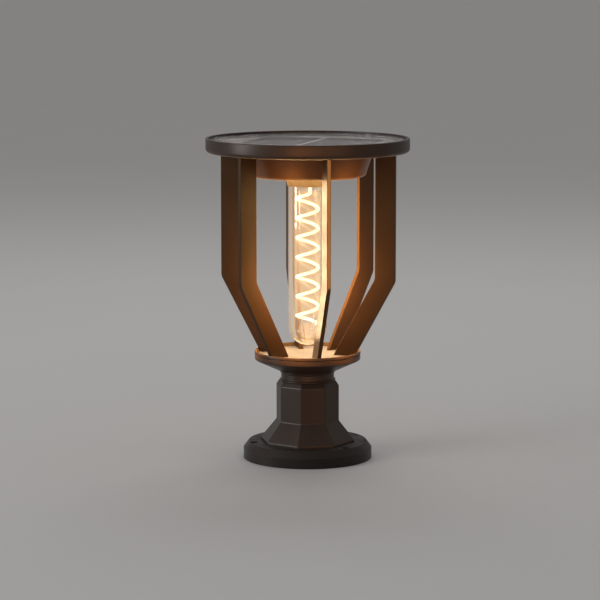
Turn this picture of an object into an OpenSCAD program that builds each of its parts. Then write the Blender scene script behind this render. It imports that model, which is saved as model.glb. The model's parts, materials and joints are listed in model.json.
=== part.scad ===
// Solar gate light: a round solar cap on six bent fins, a dish, a neck and an octagonal post on a flange.
// The origin is the centre of the flange's underside, +Z is up, and the panel's centre strip runs along Y.

/* [Base flange] */
// Diameter of the round base flange
flange_d = 127; // [120:1:150]
// Height of the flange's vertical side wall
flange_wall_h = 10; // [8:0.5:11]
// Height of the sloped shoulder above the side wall
shoulder_h = 6.5; // [6:0.5:9]
// Width of the sloped shoulder
shoulder_w = 5; // [3:0.5:6]
// Depth of the recess that the post's foot stands in
recess_depth = 1; // [1:0.5:4]
// Gap round the post's foot in the recess
recess_gap = 0.8; // [0.5:0.1:3]
// Diameter of the access hole in the flange's middle
access_d = 48; // [36:1:50]
// Depth of the hollow under the flange
hollow_depth = 8; // [7:0.5:9]
// Diameter of the hollow under the flange
hollow_d = 84; // [80:1:86]
// Diameter of the circle that the mounting holes lie on
mount_pcd = 108; // [106:1:114]
// Diameter of each mounting hole
mount_hole_d = 7; // [5:0.5:7]
// Number of mounting holes
mount_count = 3; // [3:1:6]
// Thickness of the rubber gasket let into the underside
gasket_t = 2; // [1:0.5:3]
// Width of the gasket ring
gasket_w = 15; // [12:0.5:15.5]
// Width of the metal lip outside the gasket
gasket_lip = 2; // [1.5:0.5:2.5]

/* [Post and neck] */
// Distance across the corners of the octagonal post
post_d = 63.4; // [60:0.2:70]
// Distance across the corners of the flared foot
foot_d = 94.6; // [90:0.2:98]
// Height of the foot's vertical edge
foot_h = 3; // [3:0.5:6]
// Height of the flare
flare_h = 19; // [16:0.5:30]
// Height of the straight octagonal shaft
shaft_h = 35.3; // [30:0.1:80]
// Height of the chamfer at the post's top
post_chamfer_h = 4.7; // [3:0.1:6]
// How far the chamfer goes in at each corner
post_chamfer_w = 3.3; // [2:0.1:4]
// Turn of the octagon about the vertical axis, in degrees
post_turn = 5.5; // [0:0.5:22.5]
// Thickness of the web that the tie bolt clamps
web_t = 9.5; // [6:0.5:12]
// Bore of the hollow shaft
post_bore_d = 52; // [46:1:52]
// Height of the neck
neck_h = 9.5; // [8.5:0.5:20]
// Smallest diameter of the neck
neck_d = 52.4; // [48:0.2:54]
// How much wider the neck's two ends are than its waist
neck_lip = 1.4; // [0.4:0.1:2]
// Diameter of the spigots that centre the neck
spigot_d = 31.4; // [26:0.2:36]
// Length of the post's spigot
post_spigot_h = 3; // [2:0.5:4]
// Length of the dish's spigot
dish_spigot_h = 4; // [2:0.5:5]

/* [Dish] */
// Diameter of the dish's rim
dish_d = 104.8; // [102:0.2:116]
// Height of the cone under the dish
dish_cone_h = 11.4; // [10:0.1:16]
// Height of the dish above its cone
dish_wall_h = 8.6; // [7:0.1:10]
// Wall of the dish's cone
dish_wall_t = 3; // [2:0.5:4]
// Depth of the floor plate below the rim
floor_depth = 3.5; // [2:0.5:4]
// Thickness of the floor plate
floor_t = 2.5; // [2:0.5:3]
// Width of the ledge that the floor plate rests on
floor_ledge = 4; // [3:0.5:6]
// Diameter of the threaded boss under the floor plate
floor_boss_d = 18; // [15:0.5:22]

/* [Fins] */
// Thickness of each fin
fin_t = 4; // [3.6:0.1:6]
// Distance from the axis to a fin's outer edge
fin_reach = 89.3; // [84:0.1:91]
// Width of a fin's upright part
fin_w = 20.4; // [16:0.1:24]
// Height of a fin from the dish floor to the cap
fin_h = 199.5; // [196:0.5:260]
// Height of the bend in the outer edge above the dish floor
fin_knee_h = 74.5; // [60:0.5:100]
// Distance from the axis to the outer corner of a fin's foot
fin_foot_reach = 48.6; // [46:0.1:48.8]
// Width of a fin's foot
fin_foot_w = 21.7; // [18:0.1:24]
// Thread diameter of the screws in the fins
fin_screw_d = 2.5; // [2:0.1:3]
// Depth of the screw holes in the fins
fin_screw_depth = 6; // [4:0.5:8]

/* [Cap] */
// Diameter of the round cap
cap_d = 200; // [196:1:230]
// Height of the cap
cap_h = 14; // [13:0.5:20]
// Radius of the cap's rounded lower edge
cap_lip_r = 4; // [2:0.5:5]
// Width of the rim round the panel
rim_w = 3; // [2:0.5:5]
// Thickness of the cap's floor
tray_floor_t = 3; // [2:0.5:4]
// Depth of the panel below the rim
panel_recess = 1.6; // [0.5:0.1:2.5]
// Thickness of the panel's glass
panel_glass_t = 3.2; // [2:0.1:3.2]
// Thickness of the solar cells
cell_t = 0.4; // [0.3:0.1:0.6]
// Thickness of the panel's back board
back_board_t = 1.6; // [1:0.1:2]
// Width of the ledge that carries the panel's seal
panel_ledge = 5; // [4:0.5:8]
// Side of the square that the two half cells make
cell_side = 125; // [100:1:126]
// Diameter that the outer corners of the cells are cut to
cell_corner_d = 168; // [150:1:176]
// Width of the white strip between the half cells
strip_w = 3.2; // [1:0.1:6]

/* [Battery housing] */
// Depth of the housing below the cap
housing_h = 23.5; // [23:0.1:30]
// Diameter of the housing at the cap
housing_top_d = 128; // [126:0.5:134]
// Diameter of the housing just above its rounded corner
housing_low_d = 115.6; // [114:0.2:122]
// Radius of the housing's rounded lower corner
housing_corner_r = 4.5; // [3:0.1:6]
// Thickness of the housing's wall
housing_wall = 2.5; // [2:0.1:3]
// Thickness of the housing's floor
housing_floor_t = 2.2; // [1.8:0.1:3]
// Width of the housing's top rim, which holds the seal
housing_rim_w = 4; // [3.6:0.1:5]
// Height of the housing's top rim
housing_rim_h = 4; // [3:0.5:5]
// Height of the collar below the housing
collar_h = 9.4; // [7:0.1:14]
// Diameter of the collar at the housing
collar_top_d = 52.8; // [50:0.2:55]
// Wall of the collar at its lower end
collar_wall = 0.7; // [0.6:0.1:1.2]
// Diameter of a battery cell
battery_d = 18.4; // [14:0.1:18.5]
// Length of a battery cell
battery_len = 65; // [50:0.5:65]

/* [Lamp] */
// Diameter of the lamp's glass tube
bulb_d = 38; // [34:0.5:38]
// Length of the lamp below the collar
bulb_drop = 158; // [140:0.5:160]
// Wall of the lamp's glass
glass_wall = 1; // [0.7:0.1:1.5]
// Outside diameter of the filament's spiral
spiral_d = 23.8; // [20:0.2:26]
// Thickness of the filament
filament_d = 2.8; // [2:0.1:3.4]
// Rise of each loop of the filament
spiral_pitch = 19.33; // [16:0.01:22]
// Number of the filament's loops
spiral_turns = 6.579; // [4:0.001:6.58]
// Wall of the inner glass tube round the filament
inner_wall = 0.8; // [0.6:0.1:1]
// Height of the inner tube's lower end above the glass foot
inner_lift = 8; // [2:0.5:20]
// Gap between the inner tube's upper end and the filament's upper end
inner_top_gap = 4.7; // [2:0.1:20]
// Direction of the filament's lower end, in degrees
spiral_start = 17; // [0:1:359]
// Height of each bend at the filament's ends
bend_h = 4; // [3:0.5:6]
// Largest diameter of the lamp's screw thread
thread_d = 26.1; // [24:0.1:27]
// Pitch of the lamp's screw thread
thread_pitch = 3.63; // [3:0.01:4]

/* [Push button] */
// Diameter of the button
button_d = 10; // [8:0.5:11]
// Travel of the button
button_travel = 1.4; // [0.8:0.1:1.5]
// How far the button stands out below the housing
button_out = 1.9; // [1.8:0.1:3]
// Distance of the button from the axis
button_reach = 42; // [41:0.5:43]

/* [Clearances] */
// Gap between pieces that only lie next to each other
part_gap = 0.3; // [0.2:0.05:0.4]
// Radial gap round spigots, threads and screws
fit_gap = 0.15; // [0.1:0.05:0.2]
// Radial gap of the sliding button
slide_gap = 0.06; // [0.02:0.01:0.1]

/* [Hidden] */
$fn = 96;

coat = [0.24, 0.2, 0.18];
fin_coat = [0.4, 0.24, 0.13];
steel = [0.72, 0.72, 0.74];
brass = [0.8, 0.66, 0.36];
black = [0.08, 0.08, 0.09];
rubber = [0.12, 0.12, 0.12];
white = [0.9, 0.9, 0.88];

// Cuts run this far past the faces that they open
cut = 1;
// Stacked solids of one piece run this far into each other
seam = 0.05;

// Heights of the stack, from the ground up
z_recess = flange_wall_h + shoulder_h - recess_depth;
z_flange_top = flange_wall_h + shoulder_h;
z_foot_edge = z_recess + foot_h;
z_flare_top = z_foot_edge + flare_h;
z_shaft_top = z_flare_top + shaft_h;
z_post_top = z_shaft_top + post_chamfer_h;
z_web = z_post_top - web_t;
z_dish = z_post_top + neck_h;
z_dish_wall = z_dish + dish_cone_h;
z_rim = z_dish_wall + dish_wall_h;
z_floor = z_rim - floor_depth;
z_floor_under = z_floor - floor_t;
z_bowl_inside = z_dish + dish_wall_t + 0.5;
z_cap = z_floor + fin_h;
z_cap_top = z_cap + cap_h;

// Heights in the cap
z_tray_floor = z_cap + tray_floor_t;
z_glass_top = z_cap_top - panel_recess;
z_glass = z_glass_top - panel_glass_t;
z_cells = z_glass - cell_t;
z_board_back = z_cells - back_board_t;

// Heights in the housing
z_housing = z_cap - housing_h;
z_housing_floor = z_housing + housing_floor_t;
z_collar = z_housing - collar_h;

// Radii of the base
flange_r = flange_d / 2;
crest_r = flange_r - shoulder_w;
foot_r = foot_d / 2;
recess_r = foot_r + recess_gap;
post_r = post_d / 2;
post_top_r = post_r - post_chamfer_w;
post_bore_r = post_bore_d / 2;
gasket_out_r = flange_r - gasket_lip;
gasket_in_r = gasket_out_r - gasket_w;

// Screws and bolt of the base
post_screw_r = 2.5;
post_screw_circle = 33;
post_screw_count = 4;
post_screw_head_r = 4.5;
post_screw_head_h = 3;
post_screw_depth = 11;
post_boss_wall = 2;
post_boss_h = post_screw_depth + 3;
foot_hollow_r = foot_r - 7.3;
foot_hollow_h = foot_h + flare_h - 3.5;
tie_r = 5;
tie_head_r = 9.8;
tie_head_h = 6.4;
tie_washer_r = 11;
tie_washer_t = 2;
tie_end_gap = 1;

// Dish and floor plate
dish_r = dish_d / 2;
neck_r = neck_d / 2;
neck_end_r = neck_r + neck_lip / 2;
bead_h = 2.6;
groove_h = 1.2;
groove_depth = 0.9;
edge_round = 0.5;
fin_slope = (fin_reach - fin_foot_reach) / fin_knee_h;
floor_edge = 0.4;
floor_r = fin_foot_reach + floor_edge;
seat_r = floor_r + fit_gap;
rim_inner_r = seat_r + floor_depth * fin_slope;
ledge_t = 1.5;
floor_thread_h = z_floor_under - z_bowl_inside - ledge_t;

// Fins
fin_count = 6;
fin_inner_r = fin_reach - fin_w;
fin_foot_inner_r = fin_foot_reach - fin_foot_w;
fin_inner_knee_h = (fin_inner_r - fin_foot_inner_r) / fin_slope;
fin_screw_r = fin_screw_d / 2;
fin_screw_head_r = fin_screw_r + 1.05;
fin_screw_head_h = 1.6;
fin_screw_edge = 5.3;
fin_screw_play = 0.5;
foot_screw_circles = [
    fin_foot_inner_r + fin_screw_edge + 0.8,
    floor_r - floor_ledge - fin_screw_head_r - 2 * part_gap
];

// Cap and panel
cap_r = cap_d / 2;
panel_well_r = cap_r - rim_w;
panel_r = panel_well_r - part_gap - 0.1;
ledge_r = panel_well_r - panel_ledge;
back_board_r = ledge_r - part_gap - 0.2;
seal_gap = 0.4;
seal_w = panel_ledge - 2 * seal_gap;

// The screws at a fin's top stand a quarter of the free width in from each side
top_screw_span = min(fin_reach, ledge_r) - fin_inner_r;
top_screw_circles = [fin_inner_r + top_screw_span / 4, fin_inner_r + top_screw_span * 3 / 4];

// Housing, collar and lamp holder
housing_top_r = housing_top_d / 2;
housing_low_r = housing_low_d / 2;
corner_z = z_housing + housing_corner_r;
groove_edge = 1.1;
seal_depth = 1.3;
collar_top_r = collar_top_d / 2;
bulb_r = bulb_d / 2;
collar_bore_r = bulb_r + part_gap + 0.1;
collar_r = collar_bore_r + collar_wall;
collar_thread_r = collar_bore_r + 1.6;
nut_r = collar_thread_r + 3;
nut_h = 3.3;
collar_top_z = z_housing_floor + nut_h + 1;
holder_plate_t = 2.5;
z_holder_body = collar_top_z + holder_plate_t;
holder_top_z = z_board_back - part_gap;
holder_wall = 3;
sleeve_wall = 1.1;
thread_r = thread_d / 2;
thread_depth = 0.9;
thread_rings = 4;
sleeve_r = thread_r + fit_gap + 0.1 + sleeve_wall;
holder_bore_r = sleeve_r + fit_gap;
holder_r = holder_bore_r + holder_wall;
ear_reach = 28;
ear_r = 4;
ear_screw_r = 1.5;
tray_hole_r = holder_r + 1;
holder_roof_t = 2;
contact_t = 0.8;
z_holder_roof = holder_top_z - holder_roof_t;
z_contact_top = z_holder_roof - contact_t;

// Lamp
bulb_contact_h = 1.2;
bulb_insulator_h = 2.6;
z_bulb_top = z_contact_top - 0.2;
z_insulator_top = z_bulb_top - bulb_contact_h;
z_shell_top = z_insulator_top - bulb_insulator_h;
z_shell = z_shell_top - thread_rings * thread_pitch - 3.8;
z_tip = z_collar - bulb_drop;
z_dome = z_tip + bulb_r;
bulb_neck_r = thread_r - thread_depth - 0.65;
shoulder_r = 8.5;
shoulder_end = 60;
z_shoulder = z_shell - 12.6;
stem_r = 6;
stem_rod_r = 1.8;
stem_rod_h = 5;
stem_cone_h = 3;
stem_seal_h = 5.2;
stem_seal_t = 1;
stem_seal_gap = 0.1;
z_stem_low = z_shoulder - 0.6;

// Filament and its foot
spiral_r = (spiral_d - filament_d) / 2;
filament_r = filament_d / 2;
foot_low_r = 5.4;
foot_up_r = 7.9;
foot_glass_h = 19;
z_foot_glass = z_dome - sqrt(pow(bulb_r - glass_wall, 2) - pow(foot_low_r, 2)) + part_gap;
filament_lift = 12.4;
z_filament = z_foot_glass + filament_lift;
straight_low = filament_d + 0.2;
z_spiral = z_filament + straight_low + bend_h;
straight_top = straight_low + 2;
z_spiral_top = z_spiral + spiral_turns * spiral_pitch;
z_filament_top = z_spiral_top + bend_h + straight_top;
bend_turn = 180 * bend_h / spiral_pitch;
loop_rings = 24;
bend_rings = 8;
tube_sides = 6;
wire_r = 0.4;
pad_h = 0.6;
foot_side_r = foot_low_r + (foot_up_r - foot_low_r) * filament_lift / foot_glass_h;
z_hook = z_filament - pad_h - wire_r;

// Inner tube
inner_tube_r = spiral_d / 2 + part_gap + 0.05;
z_tube = z_foot_glass + foot_glass_h + inner_lift;
z_tube_top = z_filament_top - inner_top_gap;
return_wire_reach = (inner_tube_r + inner_wall + bulb_r - glass_wall) / 2;

// Batteries
battery_r = battery_d / 2;
battery_x = ear_reach - 1.5 + battery_r - 1.7;
battery_z = z_housing_floor + part_gap + 1 + battery_r;
nub_r = 2.8;
nub_h = 1;
cradle_gap = 0.3;
cradle_half_w = battery_r - 1.7;
cradle_h = battery_r;
contact_plate_t = 0.5;
cradle_end_t = 1.5;
cradle_half_len = battery_len / 2 + part_gap + contact_plate_t + cradle_end_t;

// Controller board
board_w = 38;
board_y = [ear_reach + ear_r + 1.2, 50.4];
board_t = 1.6;
z_board = z_housing_floor + 4.6;
standoff_r = 2.6;
standoff_x = 15;
board_screw_r = 1;
board_screw_grip = 3;
board_hole_depth = board_screw_grip + fin_screw_play;
board_screw_head_r = 1.9;
board_screw_head_h = 1.2;
board_screw_y = 45;

// Housing screws
housing_screw_r = 1.5;
housing_screw_circle = 53;
housing_screw_angles = [55, 125, 235, 305];
housing_boss_r = 3.5;
housing_screw_depth = 11;
screw_head_r = 2.8;
screw_head_h = 2;

// Push button
button_r = button_d / 2;
button_flange_r = button_r + 1.2;
button_flange_t = 0.8;
bush_wall = 1;
bush_lip_r = button_r + 2.5;
bush_lip_t = 1;
z_button_flange = z_housing_floor + 0.2;
switch_gap = 0.1;
spring_wire_r = 0.2;
spring_turns = 2.5;
spring_r = button_r - 0.1;
switch_side = 6;
z_switch = z_button_flange + button_flange_t + button_travel + switch_gap;

// Wires
battery_lead_in = 3;
battery_lead_bend = 6;
battery_lead_end = [13, 36];
lead_sink = 0.2;
lead_r = 0.6;
lead_rings = 12;
grommet_y = 30;
grommet_r = 4;
grommet_hole_r = 2.6;
grommet_lip_r = 5.4;
grommet_lip_t = 0.8;
junction_size = [20, 12, z_board_back - z_tray_floor - 1];
junction_y = 47;
lead_gap = 1.6;

// Points of a circular arc about (x, y)
function arc(x, y, r, from, to, steps = 6) =
    [for (i = [0:steps]) let (a = from + (to - from) * i / steps) [x + r * cos(a), y + r * sin(a)]];

// Places evenly spaced round the axis
module round_pattern(count, first = 0) {
    for (i = [0:count - 1]) rotate(first + i * 360 / count) children();
}

module ring(outer, inner, z, h) {
    translate([0, 0, z]) difference() {
        cylinder(r = outer, h = h);
        translate([0, 0, -cut]) cylinder(r = inner, h = h + 2 * cut);
    }
}

// A screw with its head's underside at z = 0 and its shank going down
module screw(r, length, head_r, head_h) {
    translate([0, 0, -length]) cylinder(r = r, h = length, $fn = 24);
    difference() {
        cylinder(r = head_r, h = head_h, $fn = 32);
        translate([0, 0, head_h * 0.5]) cylinder(r = head_r * 0.5, h = head_h, $fn = 6);
    }
}

// Unit vector, cross frames and the sweep of a round tube along points
function unit(v) = v / norm(v);
function path_dir(p, i) = unit(p[min(i + 1, len(p) - 1)] - p[max(i - 1, 0)]);
function side_dir(t, ref) = unit(ref - (ref * t) * t);
function ring_points(p, i, ref, r, sides) =
    let (t = path_dir(p, i), n = side_dir(t, ref), b = cross(t, n))
    [for (k = [0:sides - 1]) let (a = 360 * k / sides) p[i] + r * (n * cos(a) + b * sin(a))];

module tube(points, refs, r, sides = tube_sides) {
    last = len(points) - 1;
    verts = [for (i = [0:last]) each ring_points(points, i, refs[i], r, sides)];
    walls = [for (i = [0:last - 1], k = [0:sides - 1]) let (
        a = i * sides + k,
        b = i * sides + (k + 1) % sides
    ) each [[a, a + sides, b + sides], [a, b + sides, b]]];
    start = [for (k = [0:sides - 1]) k];
    end = [for (k = [sides - 1:-1:0]) last * sides + k];
    polyhedron(points = verts, faces = concat([start], walls, [end]), convexity = 10);
}

// Cubic curve between the first and last of four points
function curve_point(p, t) =
    pow(1 - t, 3) * p[0] + 3 * pow(1 - t, 2) * t * p[1] + 3 * (1 - t) * t * t * p[2] + pow(t, 3) * p[3];
function curve(p, steps = lead_rings) = [for (i = [0:steps]) curve_point(p, i / steps)];
function after_first(p) = [for (i = [1:len(p) - 1]) p[i]];

module wire(points, r, ref) {
    tube(points, [for (p = points) ref], r);
}

// The filament: a straight end, a bend, the loops, a bend and a straight end
function spiral_point(z, angle) = [spiral_r * cos(angle), spiral_r * sin(angle), z];
function bend_share(u) = (u - sin(180 * u) / 180 * (180 / PI)) / 1;
function low_bend_angle(u) = spiral_start + bend_turn * bend_share(u);
spiral_first = spiral_start + bend_turn;
spiral_last = spiral_first + 360 * spiral_turns;
function top_bend_angle(u) = spiral_last + bend_turn * (1 - bend_share(1 - u));
spiral_steps = ceil(spiral_turns * loop_rings);
filament_path = concat(
    [spiral_point(z_filament, spiral_start)],
    [spiral_point(z_filament + straight_low / 2, spiral_start)],
    [for (i = [0:bend_rings - 1]) let (u = i / bend_rings)
        spiral_point(z_filament + straight_low + bend_h * u, low_bend_angle(u))],
    [for (i = [0:spiral_steps]) let (u = i / spiral_steps)
        spiral_point(z_spiral + (z_spiral_top - z_spiral) * u,
            spiral_first + (spiral_last - spiral_first) * u)],
    [for (i = [1:bend_rings]) let (u = i / bend_rings)
        spiral_point(z_spiral_top + bend_h * u, top_bend_angle(u))],
    [spiral_point(z_filament_top - straight_low / 2, spiral_last + bend_turn)],
    [spiral_point(z_filament_top, spiral_last + bend_turn)]
);
filament_refs = [for (p = filament_path) [p[0], p[1], 0]];

// Least gap of the filament to itself, measured between rings at least half a loop apart
filament_gap = min([
    for (i = [0:len(filament_path) - 1])
        for (j = [i + loop_rings / 2:1:len(filament_path) - 1])
            norm(filament_path[i] - filament_path[j])
]) - filament_d;

// Outline of a screw thread's rings, from the bottom to the top
function thread_outline(r, z, rings, steps = 6) = [
    for (i = [0:rings * steps]) [r - thread_depth / 2 + thread_depth / 2 * cos(360 * i / steps + 180),
        z + i * thread_pitch / steps]
];

module base_flange() {
    color(coat) difference() {
        rotate_extrude() polygon(concat(
            [[access_d / 2, z_flange_top], [access_d / 2, hollow_depth], [hollow_d / 2, hollow_depth]],
            [[hollow_d / 2, 0], [gasket_in_r, 0], [gasket_in_r, gasket_t], [gasket_out_r, gasket_t]],
            [[gasket_out_r, 0], [flange_r - edge_round, 0], [flange_r, edge_round]],
            [[flange_r, flange_wall_h], [crest_r + edge_round, z_flange_top - edge_round / 2]],
            [[crest_r - edge_round, z_flange_top]]
        ));
        octagon(recess_r, recess_r, z_recess, recess_depth + cut);
        round_pattern(mount_count, 90) translate([mount_pcd / 2, 0, -cut])
            cylinder(d = mount_hole_d, h = z_flange_top + 2 * cut, $fn = 48);
        round_pattern(post_screw_count, 45) translate([post_screw_circle, 0, hollow_depth - cut])
            cylinder(r = post_screw_r + fit_gap, h = z_recess - hollow_depth + 2 * cut, $fn = 48);
    }
}

module base_gasket() {
    color(rubber) difference() {
        ring(gasket_out_r - 0.2, gasket_in_r + 0.2, 0, gasket_t);
        round_pattern(mount_count, 90) translate([mount_pcd / 2, 0, -cut])
            cylinder(d = mount_hole_d + 0.8, h = gasket_t + 2 * cut, $fn = 48);
    }
}

module octagon(low_r, up_r, z, h) {
    translate([0, 0, z]) rotate(post_turn) cylinder(r1 = low_r, r2 = up_r, h = h, $fn = 8);
}

module post() {
    color(coat) difference() {
        union() {
            octagon(foot_r, foot_r, z_recess, foot_h);
            octagon(foot_r, post_r, z_foot_edge - seam, flare_h + seam);
            octagon(post_r, post_r, z_recess, z_shaft_top - z_recess);
            octagon(post_r, post_top_r, z_shaft_top - seam, post_chamfer_h + seam);
            translate([0, 0, z_web + seam]) cylinder(d = spigot_d, h = web_t + post_spigot_h - seam);
        }
        difference() {
            union() {
                translate([0, 0, z_recess - cut]) cylinder(r = post_bore_r, h = z_web - z_recess + cut);
                translate([0, 0, z_recess])
                    cylinder(r1 = foot_hollow_r, r2 = post_bore_r, h = foot_hollow_h);
            }
            round_pattern(post_screw_count, 45) translate([post_screw_circle, 0, z_recess - 2 * cut])
                cylinder(r = post_screw_r + post_boss_wall, h = post_boss_h + 2 * cut, $fn = 48);
        }
        round_pattern(post_screw_count, 45) translate([post_screw_circle, 0, z_recess - cut])
            cylinder(r = post_screw_r + fit_gap, h = post_screw_depth + 1 + cut, $fn = 48);
        translate([0, 0, z_web - cut])
            cylinder(r = tie_r + fit_gap, h = web_t + post_spigot_h + 2 * cut, $fn = 48);
    }
}

module post_screws() {
    length = z_recess - hollow_depth + post_screw_depth;
    color(steel) round_pattern(post_screw_count, 45) translate([post_screw_circle, 0, hollow_depth])
        mirror([0, 0, 1]) screw(post_screw_r, length, post_screw_head_r, post_screw_head_h);
}

module tie_bolt() {
    z_head = z_web - tie_washer_t;
    color(steel) union() {
        translate([0, 0, z_head - tie_head_h]) cylinder(r = tie_head_r, h = tie_head_h, $fn = 6);
        translate([0, 0, z_head - cut])
            cylinder(r = tie_r, h = z_bowl_inside + floor_thread_h - tie_end_gap - z_head + cut, $fn = 48);
    }
}

module tie_washer() {
    color(steel) ring(tie_washer_r, tie_r + fit_gap, z_web - tie_washer_t, tie_washer_t);
}

module neck() {
    waist = neck_h * 0.22;
    color(coat) rotate_extrude() polygon(concat(
        [[spigot_d / 2 + fit_gap, z_post_top], [neck_end_r + neck_lip / 2, z_post_top]],
        [[neck_end_r, z_post_top + waist * 0.4], [neck_r, z_post_top + waist]],
        [[neck_r, z_dish - waist], [neck_end_r, z_dish - waist * 0.4]],
        [[neck_end_r + neck_lip / 2, z_dish], [spigot_d / 2 + fit_gap, z_dish]]
    ));
}

module dish() {
    wall_r = dish_r - 0.2;
    z_groove = z_rim - bead_h - groove_h;
    inner_r = floor_r - floor_ledge;
    color(coat) rotate_extrude() polygon(concat(
        [[tie_r + fit_gap, z_dish - dish_spigot_h], [spigot_d / 2, z_dish - dish_spigot_h]],
        [[spigot_d / 2, z_dish], [neck_end_r + neck_lip / 2, z_dish], [wall_r - 1, z_dish_wall - 0.4]],
        [[wall_r, z_dish_wall + 0.6], [wall_r, z_groove], [wall_r - groove_depth, z_groove + 0.3]],
        [[wall_r - groove_depth, z_rim - bead_h - 0.3], [dish_r, z_rim - bead_h]],
        [[dish_r, z_rim - edge_round], [dish_r - edge_round, z_rim], [rim_inner_r, z_rim], [seat_r, z_floor]],
        [[seat_r, z_floor_under], [inner_r, z_floor_under], [inner_r, z_floor_under - ledge_t]],
        [[neck_r - 2, z_bowl_inside], [tie_r + fit_gap, z_bowl_inside]]
    ));
}

module floor_plate() {
    color(coat) difference() {
        union() {
            translate([0, 0, z_floor_under]) cylinder(r = floor_r, h = floor_t);
            translate([0, 0, z_bowl_inside])
                cylinder(d = floor_boss_d, h = z_floor_under - z_bowl_inside + cut);
        }
        translate([0, 0, z_bowl_inside - cut])
            cylinder(r = tie_r + fit_gap, h = floor_thread_h + cut, $fn = 48);
        round_pattern(fin_count) for (r = foot_screw_circles) translate([r, 0, z_floor_under - cut])
            cylinder(r = fin_screw_r + fit_gap / 2, h = floor_t + 2 * cut, $fn = 24);
    }
}

// One bent fin, standing on the X axis
module fin() {
    color(fin_coat) difference() {
        translate([0, fin_t / 2, 0]) rotate([90, 0, 0]) linear_extrude(fin_t) polygon([
            [fin_foot_inner_r, z_floor], [fin_foot_reach, z_floor], [fin_reach, z_floor + fin_knee_h],
            [fin_reach, z_cap], [fin_inner_r, z_cap], [fin_inner_r, z_floor + fin_inner_knee_h]
        ]);
        for (r = foot_screw_circles) translate([r, 0, z_floor - cut])
            cylinder(r = fin_screw_r + fit_gap / 2, h = fin_screw_depth + cut, $fn = 24);
        for (r = top_screw_circles) translate([r, 0, z_cap - fin_screw_depth])
            cylinder(r = fin_screw_r + fit_gap / 2, h = fin_screw_depth + cut, $fn = 24);
    }
}

module fin_at(i) {
    rotate(i * 360 / fin_count) fin();
}

module fin_foot_screws() {
    length = floor_t + fin_screw_depth - fin_screw_play;
    color(steel) round_pattern(fin_count) for (r = foot_screw_circles)
        translate([r, 0, z_floor_under]) mirror([0, 0, 1])
            screw(fin_screw_r, length, fin_screw_head_r, fin_screw_head_h);
}

module fin_top_screws() {
    length = tray_floor_t + fin_screw_depth - fin_screw_play;
    color(steel) round_pattern(fin_count) for (r = top_screw_circles)
        translate([r, 0, z_tray_floor])
            screw(fin_screw_r, length, fin_screw_head_r, fin_screw_head_h);
}

module cap_tray() {
    color(coat) difference() {
        rotate_extrude() polygon(concat(
            [[tray_hole_r, z_cap]],
            arc(cap_r - cap_lip_r, z_cap + cap_lip_r, cap_lip_r, -90, 0),
            [[cap_r, z_cap_top - edge_round], [cap_r - edge_round, z_cap_top]],
            [[panel_well_r, z_cap_top], [panel_well_r, z_board_back], [ledge_r, z_board_back]],
            [[ledge_r, z_tray_floor], [tray_hole_r, z_tray_floor]]
        ));
        round_pattern(fin_count) for (r = top_screw_circles) translate([r, 0, z_cap - cut])
            cylinder(r = fin_screw_r + fit_gap / 2, h = tray_floor_t + 2 * cut, $fn = 24);
        for (a = housing_screw_angles) rotate(a) translate([housing_screw_circle, 0, z_cap - cut])
            cylinder(r = housing_screw_r + fit_gap, h = tray_floor_t + 2 * cut, $fn = 24);
        translate([0, grommet_y, z_cap - cut])
            cylinder(r = grommet_r, h = tray_floor_t + 2 * cut, $fn = 48);
    }
}

module panel_seal() {
    color(rubber) ring(ledge_r + seal_gap + seal_w, ledge_r + seal_gap, z_board_back, z_glass - z_board_back);
}

module panel_glass() {
    color([0.75, 0.8, 0.82, 0.4]) translate([0, 0, z_glass]) cylinder(r = panel_r, h = panel_glass_t);
}

module solar_cell(side) {
    half_w = (cell_side - strip_w) / 2;
    x = side > 0 ? strip_w / 2 : -strip_w / 2 - half_w;
    color([0.16, 0.15, 0.2]) intersection() {
        translate([x, -cell_side / 2, z_cells]) cube([half_w, cell_side, cell_t]);
        translate([0, 0, z_cells - cut]) cylinder(d = cell_corner_d, h = cell_t + 2 * cut);
    }
}

module centre_strip() {
    strip_gap = 0.1;
    color(white) translate([-strip_w / 2 + strip_gap, -cell_side / 2, z_cells])
        cube([strip_w - 2 * strip_gap, cell_side, cell_t]);
}

module panel_back_board() {
    color(white) translate([0, 0, z_board_back]) cylinder(r = back_board_r, h = back_board_t);
}

module panel_junction() {
    y_low = junction_y - junction_size[1] / 2;
    color(black) translate([-junction_size[0] / 2, y_low, z_board_back - junction_size[2]])
        cube(junction_size);
}

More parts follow.
